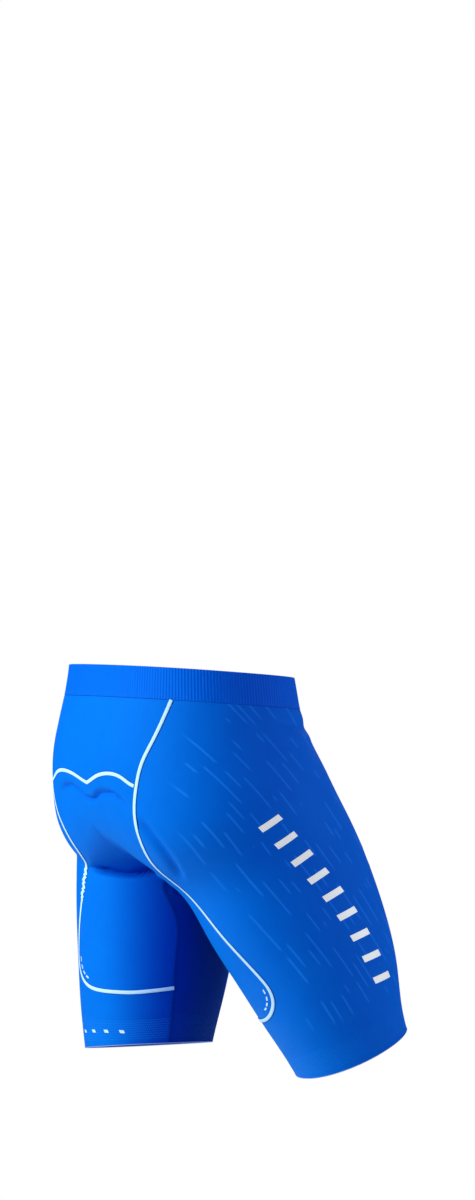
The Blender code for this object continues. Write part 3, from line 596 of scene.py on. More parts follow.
def round_thigh(side, a, b, lift, steps):
    """A curve round the outside of a thigh, lifted in its middle, from point a behind to point b."""
    hip, _, down, outward, back = LEG_FRAMES[side]
    low_a, low_b = (a - hip) @ down, (b - hip) @ down
    start = np.degrees(np.arctan2((a - hip) @ back, (a - hip) @ outward))
    turns = np.linspace(start, INNER_FRONT_ANGLE, 9)
    share = (start - turns) / (start + 180)
    along = low_a + (low_b - low_a) * share - lift * np.sin(np.pi * share)
    middle = thigh_points(list(zip(along, turns))[1:-1], side)
    return through(np.concatenate([[a], middle, [b]]), steps)


def coons(top, bottom, left, right):
    """A grid stretched between four lines of points."""
    u = np.linspace(0, 1, len(top))[None, :, None]
    v = np.linspace(0, 1, len(left))[:, None, None]
    rows = top[None] * (1 - v) + bottom[None] * v
    columns = left[:, None] * (1 - u) + right[:, None] * u
    corners = (top[0] * (1 - u) + top[-1] * u) * (1 - v) + (bottom[0] * (1 - u) + bottom[-1] * u) * v
    return rows + columns - corners


def finer(values, factor=FINE):
    """Rows on a smooth curve through the given rows, with factor steps between neighbours."""
    n = len(values)
    stops = np.arange((n - 1) * factor + 1) / factor
    fine = make_spline(np.arange(n), values.reshape(n, -1))(stops)
    return fine.reshape(len(stops), *values.shape[1:])


def patch(top, bottom, left, right):
    """A fine grid on the form between four seam curves, rows from top to bottom."""
    rim = (top, bottom, left, right)
    grid = coons(*(curve[::FINE] for curve in rim))
    grid[1:-1, 1:-1] = settle(grid[1:-1, 1:-1])
    grid = relax(grid, 12)
    fine = np.swapaxes(finer(np.swapaxes(finer(grid), 0, 1)), 0, 1)
    edges = (fine[0], fine[-1], fine[:, 0], fine[:, -1])
    fine = fine + coons(*(curve - edge for curve, edge in zip(rim, edges)))
    fine[1:-1, 1:-1] = settle(fine[1:-1, 1:-1], 3)
    fine[:, 0], fine[:, -1] = left, right
    fine[0], fine[-1] = top, bottom
    return fine


def relax(grid, rounds):
    """Even out the spacing inside a grid, keeping its points on the form and its rim still."""
    for _ in range(rounds):
        inner = (grid[:-2, 1:-1] + grid[2:, 1:-1] + grid[1:-1, :-2] + grid[1:-1, 2:]) / 4
        grid[1:-1, 1:-1] = settle((grid[1:-1, 1:-1] + inner) / 2, 2)
    return grid


def crease_lines():
    """Each crease as close points, the ways out and across at each, and its depth and widths there."""
    lines = [(trunk_points([(height, angle) for angle, height in c["rows"]], 1), c) for c in TRUNK_CREASES]
    lines += [(thigh_points(c["rows"], c["side"]), c) for c in THIGH_CREASES]
    found = []
    for knots, c in lines:
        marks = run_along(knots)
        even = np.linspace(0, marks[-1], int(marks[-1] / CREASE["step"]) + 2)
        points = make_spline(marks, knots)(even)
        share = even / marks[-1]
        taper = window(share, 0, CREASE["taper"], 1 - CREASE["taper"], 1)
        out = outward_of(points)
        over = np.cross(out, unit(np.gradient(points, axis=0)))
        widths = c["width"], c.get("over", c["width"])
        found.append((points, out, over, c["depth"] * taper, widths, c.get("shoulder", CREASE["shoulder"])))
    return found


def hollow(p):
    """Depth of the three-sided hollow that ends in a fold under the left buttock."""
    shape = HOLLOW_SHAPE
    angles, tops, folds = np.array(HOLLOW).T
    angle = np.degrees(np.arctan2(p[:, 0], p[:, 1]))
    top, fold = np.interp(angle, angles, tops), np.interp(angle, angles, folds)
    tall = np.maximum(top - fold, 1e-4)
    inside = (angle > angles[0]) & (angle < angles[-1]) & (np.abs(p[:, 2] - fold) < shape["reach"])
    size = inside * smooth_step(0, shape["full_at"], tall) * np.interp(angle, *np.array(HOLLOW_SIZE).T)
    share = np.clip((top - p[:, 2]) / tall, 0, 1) ** np.interp(angle, *np.array(HOLLOW_BELLY).T)
    lip = bell(np.maximum(fold - p[:, 2], 0), shape["lip"])
    line = bell(p[:, 2] - fold, shape["fold_width"])
    return size * (shape["depth"] * share * lip + shape["fold"] * line)


def sag(p, out):
    """How far the cloth lies off the form at each point: creases, their soft shoulders and slack."""
    total = sum(size * np.sin(p @ np.array(wave) + phase) for wave, phase, size in WAVES) - hollow(p)
    for line, line_out, over, depth, widths, shoulder in CREASES:
        reach = CREASE["reach"] * max(widths)
        near = np.all((p > line.min(0) - reach) & (p < line.max(0) + reach), axis=-1)
        if not near.any():
            continue
        apart = p[near][:, None] - line[None]
        gap = (apart**2).sum(-1)
        nearest = gap.argmin(1)
        picked = np.arange(len(nearest)), nearest
        above = (apart[picked] * over[nearest]).sum(-1) > 0
        share = np.sqrt(gap[picked]) / np.where(above, widths[1], widths[0])
        facing = smooth_step(*CREASE_FACING, (out[near] * line_out[nearest]).sum(-1))
        beside = bell(share - CREASE["shoulder_at"], CREASE["shoulder_width"])
        shape = shoulder * beside - bell(share, 1)
        total[near] += depth[nearest] * facing * shape
    return total


def drape(p, share=1.0):
    """Points on the form moved to where the creased cloth lies, and the way out there."""
    flat = p.reshape(-1, 3)
    out = outward_of(flat)
    draped = flat + out * (share * sag(flat, out))[:, None]
    return draped.reshape(p.shape), out.reshape(p.shape)


def add_attribute(piece, name, kind, field, values):
    """A named value or vector at each point of a piece."""
    layer = piece.data.attributes.new(name, kind, "POINT")
    layer.data.foreach_set(field, np.asarray(values, np.float32).ravel())


def make_piece(name, points, faces, uv, material, slot, sharp=50):
    """A smooth mesh piece with its cloth coordinates, riding on the shorts."""
    mesh = bpy.data.meshes.new(name)
    mesh.from_pydata(points.tolist(), [], faces)
    mesh.materials.append(material)
    if uv is not None:
        corner = np.empty(len(mesh.loops), np.int32)
        mesh.loops.foreach_get("vertex_index", corner)
        layer = mesh.uv_layers.new(name="UVMap")
        layer.data.foreach_set("uv", np.asarray(uv, np.float32)[corner].ravel())
    mesh.polygons.foreach_set("use_smooth", np.ones(len(mesh.polygons), bool))
    mesh.set_sharp_from_angle(angle=np.radians(sharp))
    piece = bpy.data.objects.new(name, mesh)
    bpy.context.scene.collection.objects.link(piece)
    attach(piece, "root")
    return piece


def weld_keys(points):
    """Whole micrometres, the same for points that are to be one."""
    return np.round(points.reshape(-1, 3) * 1e6).astype(np.int64)


def welded(blocks):
    """Grids that share edge points as one list of points, cloth places and outward quads."""
    points = np.concatenate([block[0].reshape(-1, 3) for block in blocks])
    uv = np.concatenate([block[1].reshape(-1, 2) for block in blocks])
    _, first, names = np.unique(weld_keys(points), axis=0, return_index=True, return_inverse=True)
    names = names.ravel()
    quads, start = [], 0
    for grid, _ in blocks:
        n = names[start:start + grid.shape[0] * grid.shape[1]].reshape(grid.shape[:2])
        start += n.size
        quad = np.stack([n[:-1, :-1], n[:-1, 1:], n[1:, 1:], n[1:, :-1]], -1).reshape(-1, 4)
        r, c = grid.shape[0] // 2, grid.shape[1] // 2
        turn = np.cross(grid[r, c + 1] - grid[r, c], grid[r + 1, c] - grid[r, c])
        quads.append(quad if turn @ outward_of(grid[r, c]) > 0 else quad[:, ::-1])
    return points[first], uv[first], np.concatenate(quads)


def rim_edges(quads, count):
    """Directed edges that only one quad uses."""
    a = quads.ravel()
    b = np.roll(quads, -1, axis=1).ravel()
    lone = ~np.isin(b * count + a, a * count + b)
    return a[lone], b[lone]


def drawn_in(points, out, a, b, margin):
    """Points with the panel's outline drawn in by a margin."""
    step = unit(np.cross((out[a] + out[b]) / 2, points[b] - points[a]))
    first, second = np.zeros_like(points), np.zeros_like(points)
    first[a] = step
    second[b] = step
    agree = np.clip(1 + (first * second).sum(-1, keepdims=True), 0.4, None)
    return points + margin * (first + second) / agree


def wall_faces(quads, count):
    """Faces of a closed wall: a skin, the same turned over behind it, and its rim."""
    a, b = rim_edges(quads, count)
    rim = np.stack([b, a, a + count, b + count], -1)
    return np.concatenate([quads, quads[:, ::-1] + count, rim]).tolist()


def shell(points, quads, thick):
    """A closed thin wall inside a skin: its points, its faces and how deep each lies in a crease."""
    a, b = rim_edges(quads, len(points))
    flat = settle(drawn_in(points, outward_of(points), a, b, SEAM_GAP / 2), 2)
    outer, out = drape(flat)
    # how deep the cloth lies in a crease, which sets its painted shade
    sunk = np.clip(((flat - outer) * out).sum(-1) / SUNK_FULL, 0, 1)
    faces = wall_faces(quads, len(points))
    return np.concatenate([outer, outer - out * thick]), faces, np.concatenate([sunk, sunk])


def placed(grid, column, step, heights, width):
    """A grid with its cloth places: across in metres from a start column, and the row heights."""
    u = (column + step * np.arange(grid.shape[1])) * width
    v = np.asarray(heights)
    return grid, np.stack(np.broadcast_arrays(u[None, :], v[:, None]), -1)


def cell_width(grid):
    return np.linalg.norm(np.diff(grid, axis=1), axis=-1).mean()


def row_run(grid):
    """Mean distance down a grid, from its first row to each of them."""
    return np.concatenate([[0], np.cumsum(np.linalg.norm(np.diff(grid, axis=0), axis=-1).mean(axis=1))])


def stacked_heights(grids):
    """Height above the lowest row for each row of grids that lie under each other."""
    runs = [row_run(grid) for grid in grids]
    below = np.cumsum([run[-1] for run in runs][::-1])[::-1]
    return [low - run for low, run in zip(below, runs)]


def stripe_places(points, uv, side):
    """Across and along coordinates of the slanted dashes, and how strongly they are printed."""
    falls, leans = np.array(STRIPE_LEAN[side]).T
    fall = STRIPE_FALL
    lean = np.radians(np.interp(fall, falls, leans))
    drift = np.concatenate([[0], np.cumsum(np.tan(lean[:-1]) * np.diff(fall))])
    stretch = np.concatenate([[0], np.cumsum(np.diff(fall) / np.cos(lean[:-1]))])
    down = -points[:, 2]
    across = (points[:, 1] + np.interp(down, fall, drift)) * np.cos(np.interp(down, fall, lean))
    facing = smooth_step(*STRIPE_FACING, np.abs(outward_of(points)[:, 0]))
    strength = facing * smooth_step(*STRIPE_FROM_SEAM, uv[:, 0]) * smooth_step(*STRIPE_FROM_HEM, uv[:, 1])
    return np.stack([across, np.interp(down, fall, stretch), strength], -1)


def inner_thigh_shade(points):
    """How much painted shade each point takes on its way round the thigh to the inner panel: 0 to 1."""
    fade = np.zeros(len(points))
    for side, start in FADE_START.items():
        hip, _, down, outward, back = LEG_FRAMES[side]
        from_hip = points - hip
        angle = np.degrees(np.arctan2(from_hip @ back, from_hip @ outward)) % 360
        on_leg = smooth_step(*FADE_SKIN, thigh_distance(points, side))
        on_leg = on_leg * smooth_step(*FADE_TOP, from_hip @ down)
        behind = smooth_step(start, INNER_BACK_ANGLE, angle) * smooth_step(FADE_END, INNER_BACK_ANGLE, angle)
        fade = np.maximum(fade, on_leg * behind)
    return fade


def cloth_panel(name, node, blocks, material, slot, striped=None, fade=FADE_SHARE):
    points, uv, quads = welded(blocks)
    wall, faces, sunk = shell(points, quads, CLOTH)
    uv = np.concatenate([uv, uv])
    piece = make_piece(name, wall, faces, uv, material, slot)
    # Painted shade: the cloth darkens toward the inner panels and in its creases
    lighter = (1 - fade * inner_thigh_shade(wall)) * (1 - CREASE_SHADE_SHARE * sunk)
    add_attribute(piece, "painted_shade_share", "FLOAT", "value", 1 - lighter)
    if striped:
        add_attribute(piece, "stripe_place", "FLOAT_VECTOR", "vector", stripe_places(wall, uv, striped))
    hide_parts(node)
    return piece


def side_cloth(side, s, material):
    back = np.concatenate([s["waist_yoke"], s["yoke_fold"][1:]])
    hip = patch(s["waist_side"], s["fold_side"], back, s["centre_front"])
    thigh = patch(s["fold_side"], s["corner_side"], s["fold_corner"], s["fork_inner_front"])
    knee = patch(s["corner_side"], s["hem_side"], s["corner_hem"], s["inner_front_hem"])
    cuff = patch(s["corner_inner"][::-1], s["hem_back"], s["inner_back_hem"], s["corner_hem"])
    heights = stacked_heights([hip, thigh, knee])
    width = cell_width(hip)
    blocks = [placed(grid, 0, 1, rows, width) for grid, rows in zip((hip, thigh, knee), heights)]
    blocks.append(placed(cuff, 1 - cuff.shape[1], 1, heights[2], width))
    return cloth_panel(
        "side_cloth_" + side, "side_panel_" + side, blocks, material, "azure_knit",
        striped=side)


def inner_cloth(side, s, material):
    upper = patch(s["fork"], s["inner_level"], s["fork_inner_back"], s["fork_inner_front"])
    lower = patch(s["inner_level"], s["hem_inner"], s["inner_back_hem"], s["inner_front_hem"])
    width = cell_width(lower)
    heights = stacked_heights([upper, lower])
    blocks = [placed(grid, 0, 1, rows, width) for grid, rows in zip((upper, lower), heights)]
    # near its back seam the inner panel takes the same painted shade colour, so the shade runs on across the
    # seam
    return cloth_panel(
        "inner_cloth_" + side, "inner_panel_" + side, blocks, material, "deep_azure_knit",
        fade=INNER_FADE_SHARE)


def seat_cloth(seams, material):
    blocks = []
    for side, s in seams.items():
        seat = patch(s["yoke_centre"], s["fold_fork"], s["yoke_fold"], s["centre_back"])
        thigh = patch(s["fold_fork"], s["corner_inner"], s["fold_corner"], s["fork_inner_back"])
        sign = LEGS[side]["sign"]
        last = seat.shape[1] - 1
        for grid, rows in zip((seat, thigh), stacked_heights([seat, thigh])):
            blocks.append(placed(grid, sign * last, -sign, rows, cell_width(seat)))
    return cloth_panel(
        "seat_cloth", "seat_panel", blocks, material, "azure_knit")


def yoke_cloth(seams, material):
    right, left = seams["right"], seams["left"]
    top = np.concatenate([right["waist_back"], left["waist_back"][-2::-1]])
    bottom = np.concatenate([right["yoke_centre"], left["yoke_centre"][-2::-1]])
    grid = patch(top, bottom, right["waist_yoke"], left["waist_yoke"])
    blocks = [placed(grid, 0, 1, stacked_heights([grid])[0], cell_width(grid))]
    return cloth_panel("yoke_cloth", "back_yoke", blocks, material, "azure_knit")


def ring_faces(around, along):
    """Quads of a closed tube, around points in each ring and along rings, joined end to end."""
    i, k = np.indices((along, around))
    j, m = (i + 1) % along, (k + 1) % around
    return np.stack([i * around + k, i * around + m, j * around + m, j * around + k], -1).reshape(-1, 4)


def waistband(material):
    """A turned band of ribbed elastic: a rounded top edge and a plain lower edge."""
    columns = BAND["columns"]
    angles = np.linspace(-180, 180, columns, endpoint=False)
    lip = BAND_CLOTH / 2
    low = BAND_DEPTH - SEAM_GAP
    down = np.linspace(low, BAND["turn_at"], BAND["rows"])
    over = np.linspace(0, np.pi, BAND["turn_rows"])[1:-1]
    profile = [(depth, 0.0) for depth in down]
    profile += [(BAND["turn_at"] - lip * np.sin(turn), lip * (np.cos(turn) - 1)) for turn in over]
    profile += [(depth, -BAND_CLOTH) for depth in down[::-1]]
    rings = []
    for depth, inset in profile:
        draped, out = drape(waist_ring(depth, angles))
        swell = 0 if inset else BAND["swell"] * np.sin(np.pi * np.clip(depth / low, 0, 1))
        rings.append(draped + out * (inset + swell))
    points = np.swapaxes(np.array(rings), 0, 1).reshape(-1, 3)
    faces = ring_faces(len(profile), columns)[:, ::-1].tolist()
    run = np.linspace(0, BAND["run"], columns)
    depth = np.array(profile)[:, 0]
    uv = np.stack(np.broadcast_arrays(run[:, None], -depth[None, :]), -1).reshape(-1, 2)
    piece = make_piece("waistband_elastic", points, faces, uv, material, "azure_knit")
    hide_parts("waistband")
    return piece


def tape(name, node, centre, material, swing=None):
    """A narrow bonded tape with a soft crown over a seam line."""
    along = unit(np.gradient(centre, axis=0))
    beside = unit(np.cross(outward_of(centre), along))
    shift, bunch = np.zeros((2, len(centre))) if swing is None else swing
    rows = []
    half = TAPE_HALF * (1 + PUCKER["swell"] * bunch)
    for stop in TAPE_STOPS:
        placed_on = settle(centre + beside * (stop * half + shift)[:, None], 3)
        draped, out = drape(placed_on, TAPE_SAG)
        rise = TAPE_EDGE + (TAPE_CROWN - TAPE_EDGE) * (1 - stop**4)
        rows.append((draped + out * rise, draped - out * TAPE_UNDER))
    ring = [row[0] for row in rows] + [row[1] for row in rows[::-1]]
    around, n = len(ring), len(centre)
    points = np.swapaxes(np.array(ring), 0, 1).reshape(-1, 3)
    faces = ring_faces(around, n)[:-around].tolist()
    for end in (0, (n - 1) * around):
        for k in range(len(TAPE_STOPS) - 1):
            cap = [end + k, end + k + 1, end + around - 2 - k, end + around - 1 - k]
            faces.append(cap if end == 0 else cap[::-1])
    run = run_along(centre)
    stops = np.array([*TAPE_STOPS, *TAPE_STOPS[::-1]])
    uv = np.stack(np.broadcast_arrays(stops[None, :], run[:, None]), -1).reshape(-1, 2)
    piece = make_piece(name, points, [f[::-1] for f in faces], uv, material, "pale_line", sharp=70)
    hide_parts(node)
    return piece


def full_seam(s):
    names = ("yoke_fold", "fold_corner", "corner_inner")
    return np.concatenate([s["waist_yoke"], *(s[name][1:] for name in names)])


def refined(points, step):
    """The same line with even steps of about a length."""
    run = run_along(points)
    return make_spline(run, points)(np.linspace(0, run[-1], int(run[-1] / step) + 1))


def add_tapes(seams, material):
    for side, s in seams.items():
        line = refined(full_seam(s), TAPE_STEP)
        swing = None
        if side == "left":
            run = run_along(line)
            from_fold = run - run_along(s["waist_yoke"])[-1] - run_along(s["yoke_fold"])[-1]
            inside = window(from_fold, *PUCKER["stops"])
            drift = PUCKER_DRIFT["size"] * np.sin(run * PUCKER_DRIFT["rate"])
            swing = inside * PUCKER["swing"] * np.sin(2 * np.pi * run / PUCKER["pitch"] + drift), inside
        tape("tape_" + side, "seam_line_" + side, line, material, swing)
    right, left = seams["right"], seams["left"]
    wave = refined(np.concatenate([right["yoke_centre"], left["yoke_centre"][-2::-1]]), TAPE_STEP)
    tape("tape_yoke", "seam_line_yoke", wave[TAPE_TRIM:-TAPE_TRIM], material)


def decal(outline, rows, columns):
    """A thin printed mark laid on the cloth between four corners: points, faces and places."""
    a, b, c, d = (np.array(corner) for corner in outline)
    u = np.linspace(0, 1, columns)[None, :, None]
    v = np.linspace(0, 1, rows)[:, None, None]
    grid = (a * (1 - u) + b * u) * (1 - v) + (d * (1 - u) + c * u) * v
    draped, out = drape(settle(grid.reshape(-1, 3), 5))
    n = np.arange(rows * columns).reshape(rows, columns)
    quads = np.stack([n[:-1, :-1], n[:-1, 1:], n[1:, 1:], n[1:, :-1]], -1).reshape(-1, 4)
    turn = np.cross(draped[n[0, 1]] - draped[n[0, 0]], draped[n[1, 0]] - draped[n[0, 0]])
    if turn @ out[0] < 0:
        quads = quads[:, ::-1]
    uv = np.stack(np.broadcast_arrays(u[..., 0], v[..., 0]), -1).reshape(-1, 2)
    points = np.concatenate([draped + out * (PRINT_LIFT + PRINT_THICK), draped + out * PRINT_LIFT])
    return points, wall_faces(quads, n.size), np.concatenate([uv, uv])


def joined(parts):
    """The points and the faces of several meshes as one mesh."""
    points, faces, start = [], [], 0
    for part in parts:
        points.append(part[0])
        faces += [[i + start for i in face] for face in part[1]]
        start += len(part[0])
    return np.concatenate(points), faces


def decals(name, outlines, material, rows=4, columns=9):
    made = [decal(outline, rows, columns) for outline in outlines]
    make_piece(name, *joined(made), np.concatenate([part[2] for part in made]), material, "pale_line")


def mark(centre, along, beside, length, width, slant=0.0):
    """Corners of a slanted bar: its length lies along, its ends lean by the slant."""
    lean = along * slant * width
    return [
        centre - along * length / 2 - beside * width / 2 - lean,
        centre + along * length / 2 - beside * width / 2 - lean,
        centre + along * length / 2 + beside * width / 2 + lean,
        centre - along * length / 2 + beside * width / 2 + lean,
    ]


def add_thigh_bars(material):
    """A row of plain slanted bars across the line down the outside of the right thigh."""
    line = refined(thigh_points(BAR_ROW, "right"), MARK_STEP)
    run = run_along(line)
    along = unit(np.gradient(line, axis=0))
    beside = unit(np.cross(outward_of(line), along))
    outlines = []
    for stop in np.linspace(BAR["from_end"], run[-1] - BAR["from_end"], BAR["count"]):
        i = np.searchsorted(run, stop)
        lean = unit(beside[i] + BAR["slant"] * along[i])
        outlines.append(mark(line[i], lean, along[i], BAR["length"], BAR["width"]))
    decals("thigh_bars", outlines, material)


def add_knee_dashes(seams, material):
    """Short dashes inside the rounded knee corner of each leg's seam."""
    for side, s in seams.items():
        line = refined(np.concatenate([s["fold_corner"][:-1], s["corner_inner"]]), MARK_STEP)
        run = run_along(line)
        bend = run_along(s["fold_corner"])[-1]
        along = unit(np.gradient(line, axis=0))
        inward = unit(np.cross(outward_of(line), along))
        inside = s["fold_fork"][len(s["fold_fork"]) // 2] - line[0]
        inward = inward if inward[0] @ inside > 0 else -inward
        outlines = []
        for stop in KNEE_DASH["stops"]:
            i = np.searchsorted(run, bend + stop)
            middle = line[i] + inward[i] * KNEE_DASH["inset"]
            size = KNEE_DASH["length"], KNEE_DASH["width"], KNEE_DASH["slant"]
            outlines.append(mark(middle, along[i], inward[i], *size))
        decals("knee_dashes_" + side, outlines, material, 3, 4)


def add_hem_ticks(material):
    """A row of small plain ticks above the back of the left hem."""
    down = LEG_FRAMES["left"][2]
    outlines = []
    for angle in HEM_TICK["angles"]:
        centre = thigh_points([(HEM_TICK["along"], angle)], "left")[0]
        beside = unit(np.cross(outward_of(centre), down))
        outlines.append(mark(centre, beside, down, HEM_TICK["length"], HEM_TICK["width"], HEM_TICK["slant"]))
    decals("hem_ticks", outlines, material, 3, 4)


def add_hem_edges(seams, material):
    """The thin raw edge of the cloth round each hem."""
    for side, s in seams.items():
        ring = np.concatenate([s["hem_back"][:-1], s["hem_side"][:-1], s["hem_inner"][::-1][:-1]])
        draped, out = drape(ring)
        down = hem_plane(side)[1]
        rings = [draped + out * rise + down * drop for rise, drop in HEM_PROFILE]
        points = np.swapaxes(np.array(rings), 0, 1).reshape(-1, 3)
        faces = ring_faces(len(HEM_PROFILE), len(ring)).tolist()
        make_piece("hem_edge_" + side, points, faces, None, material, "azure_knit")


def stitch_row(line, offset, pitch, length, thick, slant):
    """Small rounded stitches along a line on the cloth: points and faces."""
    run = run_along(line)
    count = int(run[-1] / pitch)
    stops = (np.arange(count) + 0.5) * run[-1] / count
    centre = np.stack([np.interp(stops, run, line[:, i]) for i in range(3)], -1)
    along = unit(np.stack([np.interp(stops, run, g) for g in unit(np.gradient(line, axis=0)).T], -1))
    beside = unit(np.cross(outward_of(centre), along))
    draped, out = drape(settle(centre + beside * offset, 3))
    turn = np.radians(slant) * np.where(np.arange(count) % 2, 1, -1)[:, None]
    heading = np.cos(turn) * along + np.sin(turn) * beside
    side = unit(np.cross(out, heading))
    sides = STITCH_SIDES
    points = []
    for share, swell in STITCH_SHAPE:
        for k in range(sides if swell else 1):
            spin = 2 * np.pi * k / sides
            aside, lift = np.cos(spin) * swell * thick, np.sin(spin) * swell * thick * 0.8 + thick * 0.35
            points.append(draped + heading * share * length + side * aside + out * lift)
    points = np.swapaxes(np.array(points), 0, 1).reshape(-1, 3)
    rings = len(STITCH_SHAPE) - 2
    each = 2 + rings * sides
    last = each - 1 - sides
    pairs = [(k, (k + 1) % sides) for k in range(sides)]
    one = [[0, 1 + after, 1 + k] for k, after in pairs]
    for low in range(1, last, sides):
        one += [[low + k, low + after, low + sides + after, low + sides + k] for k, after in pairs]
    one += [[each - 1, last + k, last + after] for k, after in pairs]
    faces = [[i + start * each for i in face] for start in range(count) for face in one]
    return points, faces


def add_stitches(seams, thread, deep_thread):
    """Flat seam stitches where no tape covers a seam, and under the waistband."""
    add_rows("seam_stitches_front", [seams["right"]["centre_front"]], SEAM_STITCH, thread)
    for side, s in seams.items():
        lines = [
            np.concatenate([s["fork_inner_" + place], s["inner_" + place + "_hem"][1:]])
            for place in ("back", "front")
        ]
        add_rows("seam_stitches_inner_" + side, lines, SEAM_STITCH, deep_thread)
    band = waist_ring(BAND_DEPTH - BAND_STITCH_RISE, np.linspace(-180, 180, BAND_STITCH_STOPS))
    add_rows("waistband_stitches", [band], BAND_STITCH, thread)


def add_rows(name, lines, stitch, material):
    """Rows of stitches either side of some lines, as one piece."""
    size = {key: value for key, value in stitch.items() if key != "offsets"}
    made = [stitch_row(line, offset, **size) for line in lines for offset in stitch["offsets"]]
    make_piece(name, *joined(made), None, material, "azure_knit", sharp=80)


# Seat pad: its half width at each share of the way from the back edge, under the fork, to the front
PAD_WIDTHS = [
    (0.00, 0.084),
    (0.12, 0.094),
    (0.26, 0.076),
    (0.42, 0.046),
    (0.56, 0.032),
    (0.80, 0.034),
    (0.93, 0.030),
    (1.00, 0.020),
]
PAD = dict(
    thick=0.0062, edge_thick=0.0012, off_cloth=0.0045, start_angle=8.0, end_angle=118.0,
    notch=0.020, lobe=0.5, rows=20, even_rows=4, across=12, fine=5, round_off=0.6,
)
# How fast the pad fills from its sides and from its ends
PAD_FILL = dict(side=2.6, end=7)
# Pressed channels, in shares of the pad's half width and length
CHANNELS = dict(
    depth=0.45, middle=0.10, middle_run=(0.16, 0.30, 0.90, 0.98), wing_at=0.56, wing=0.055,
    wing_run=(0.06, 0.14, 0.5, 0.66), cross_at=(0.30, 0.52), cross=0.014, cross_bow=0.05,
    cross_from=(0.06, 0.2), cross_share=0.8,
)


def walk(starts, plane_normals, heading, reach):
    """Tracks over the form from each start, each kept in its own plane, and the run at each stop."""
    stride = 0.004
    place = starts.copy()
    direction = np.broadcast_to(heading, starts.shape)
    track, runs = [place], [np.zeros(len(starts))]
    for _ in range(int(reach / stride) + 2):
        out = outward_of(place)
        direction = unit(direction - (direction * out).sum(-1, keepdims=True) * out)
        ahead = place + direction * stride
        for _ in range(4):
            slope = slope_of(ahead)
            slope = slope - (slope * plane_normals).sum(-1, keepdims=True) * plane_normals
            size = np.maximum((slope**2).sum(-1, keepdims=True), 0.25)
            ahead = ahead - form(ahead)[:, None] * slope / size
        direction = unit(ahead - place)
        runs.append(runs[-1] + np.linalg.norm(ahead - place, axis=-1))
        place = ahead
        track.append(place)
    return np.stack(track, 1), np.stack(runs, 1)


def pad_grid():
    """Points over the pad's outer face, rows from its back edge to its front edge."""
    rows, across, even = PAD["rows"], PAD["across"], PAD["even_rows"]
    middle = through(middle_points(np.linspace(PAD["start_angle"], PAD["end_angle"], 25)), rows * 4)[::4]
    headings = unit(np.gradient(middle, axis=0))
    widths = make_spline(*np.array(PAD_WIDTHS).T)(np.linspace(0, 1, rows + 1))
    share = np.linspace(0, 1, across // 2 + 1)
    sides = []
    for sign in (-1, 1):
        track, runs = walk(middle, headings, np.array([sign, 0.0, 0.0]), widths.max())
        side = [
            [np.interp(width * share, run, line[:, i]) for i in range(3)]
            for width, run, line in zip(widths, runs, track)
        ]
        sides.append(np.swapaxes(np.array(side), 1, 2))
    grid = np.concatenate([sides[0][:, ::-1], sides[1][:, 1:]], axis=1)
    aside = np.abs(np.linspace(-1, 1, across + 1))
    lobes = 1 - np.cos(np.pi * np.clip(aside / PAD["lobe"], 0, 2))
    grid[0] += unit(grid[1] - grid[0]) * (PAD["notch"] * (1 - lobes / 2))[:, None]
    for row in range(1, even):
        grid[row] = grid[0] + (grid[even] - grid[0]) * row / even
    for rim in (grid[1:, 0], grid[1:, -1]):
        for _ in range(6):
            rim[1:-1] = (rim[:-2] + 2 * rim[1:-1] + rim[2:]) / 4
    return relax(settle(grid), 12)


def seat_pad(material):
    """A foam pad with soft wings, a middle channel and two cross channels."""
    fine = PAD["fine"]
    grid = settle(np.swapaxes(finer(np.swapaxes(finer(pad_grid(), fine), 0, 1), fine), 0, 1), 3)
    rows, columns = grid.shape[:2]
    v, u = np.meshgrid(np.linspace(0, 1, rows), np.linspace(-1, 1, columns), indexing="ij")
    points, uv, quads = welded([placed(grid, 0, 1, row_run(grid), cell_width(grid))])
    order = np.unique(weld_keys(grid), axis=0, return_index=True)[1]
    aside, v = np.abs(u.ravel()[order]), v.ravel()[order]
    ends = PAD_FILL["end"] * np.minimum(v, 1 - v)
    fill = smooth_step(0, 1, np.minimum((1 - aside) * PAD_FILL["side"], ends)) ** PAD["round_off"]
    c = CHANNELS
    middle = bell(aside, c["middle"]) * window(v, *c["middle_run"])
    wing = bell(aside - c["wing_at"], c["wing"]) * window(v, *c["wing_run"])
    cross = sum(bell(v - at - c["cross_bow"] * aside, c["cross"]) for at in c["cross_at"])
    cross = cross * smooth_step(*c["cross_from"], aside)
    fill = fill * (1 - c["depth"] * np.clip(middle + wing + c["cross_share"] * cross, 0, 1))
    depth = PAD["edge_thick"] + (PAD["thick"] - PAD["edge_thick"]) * fill
    draped, out = drape(points)
    outer = draped - out * PAD["off_cloth"]
    wall = np.concatenate([outer, outer - out * depth[:, None]])
    faces = wall_faces(quads, len(points))
    piece = make_piece("pad_foam", wall, faces, np.concatenate([uv, uv]), material, "pad_foam")
    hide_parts("seat_pad")


# Materials


def put(tree, kind, wires=None, **settings):
    """A node with its settings, and its inputs filled from values or joined to other sockets."""
    made = tree.nodes.new(kind)
    for key, value in settings.items():
        setattr(made, key, value)
    for key, value in (wires or {}).items():
        if isinstance(value, bpy.types.NodeSocket):
            tree.links.new(value, made.inputs[key])
        else:
            made.inputs[key].default_value = value
    return made


def calc(tree, operation, *values):
    """A Math node over values or sockets, as its output."""
    return put(tree, "ShaderNodeMath", dict(enumerate(values)), operation=operation).outputs[0]


def soft_mask(tree, value, low, high):
    """0 at low and 1 at high, eased between."""
    wires = {"Value": value, "From Min": low, "From Max": high, "To Min": 0.0, "To Max": 1.0}
    return put(tree, "ShaderNodeMapRange", wires, interpolation_type="SMOOTHSTEP").outputs["Result"]


def noise(tree, place, scale, detail):
    return put(tree, "ShaderNodeTexNoise", {"Vector": place, "Scale": scale, "Detail": detail}).outputs[0]


def axes(tree, place):
    return put(tree, "ShaderNodeSeparateXYZ", {0: place}).outputs


def cloth_place(tree):
    """Across and along places on the cloth, in metres."""
    return put(tree, "ShaderNodeUVMap", uv_map="UVMap").outputs[0]


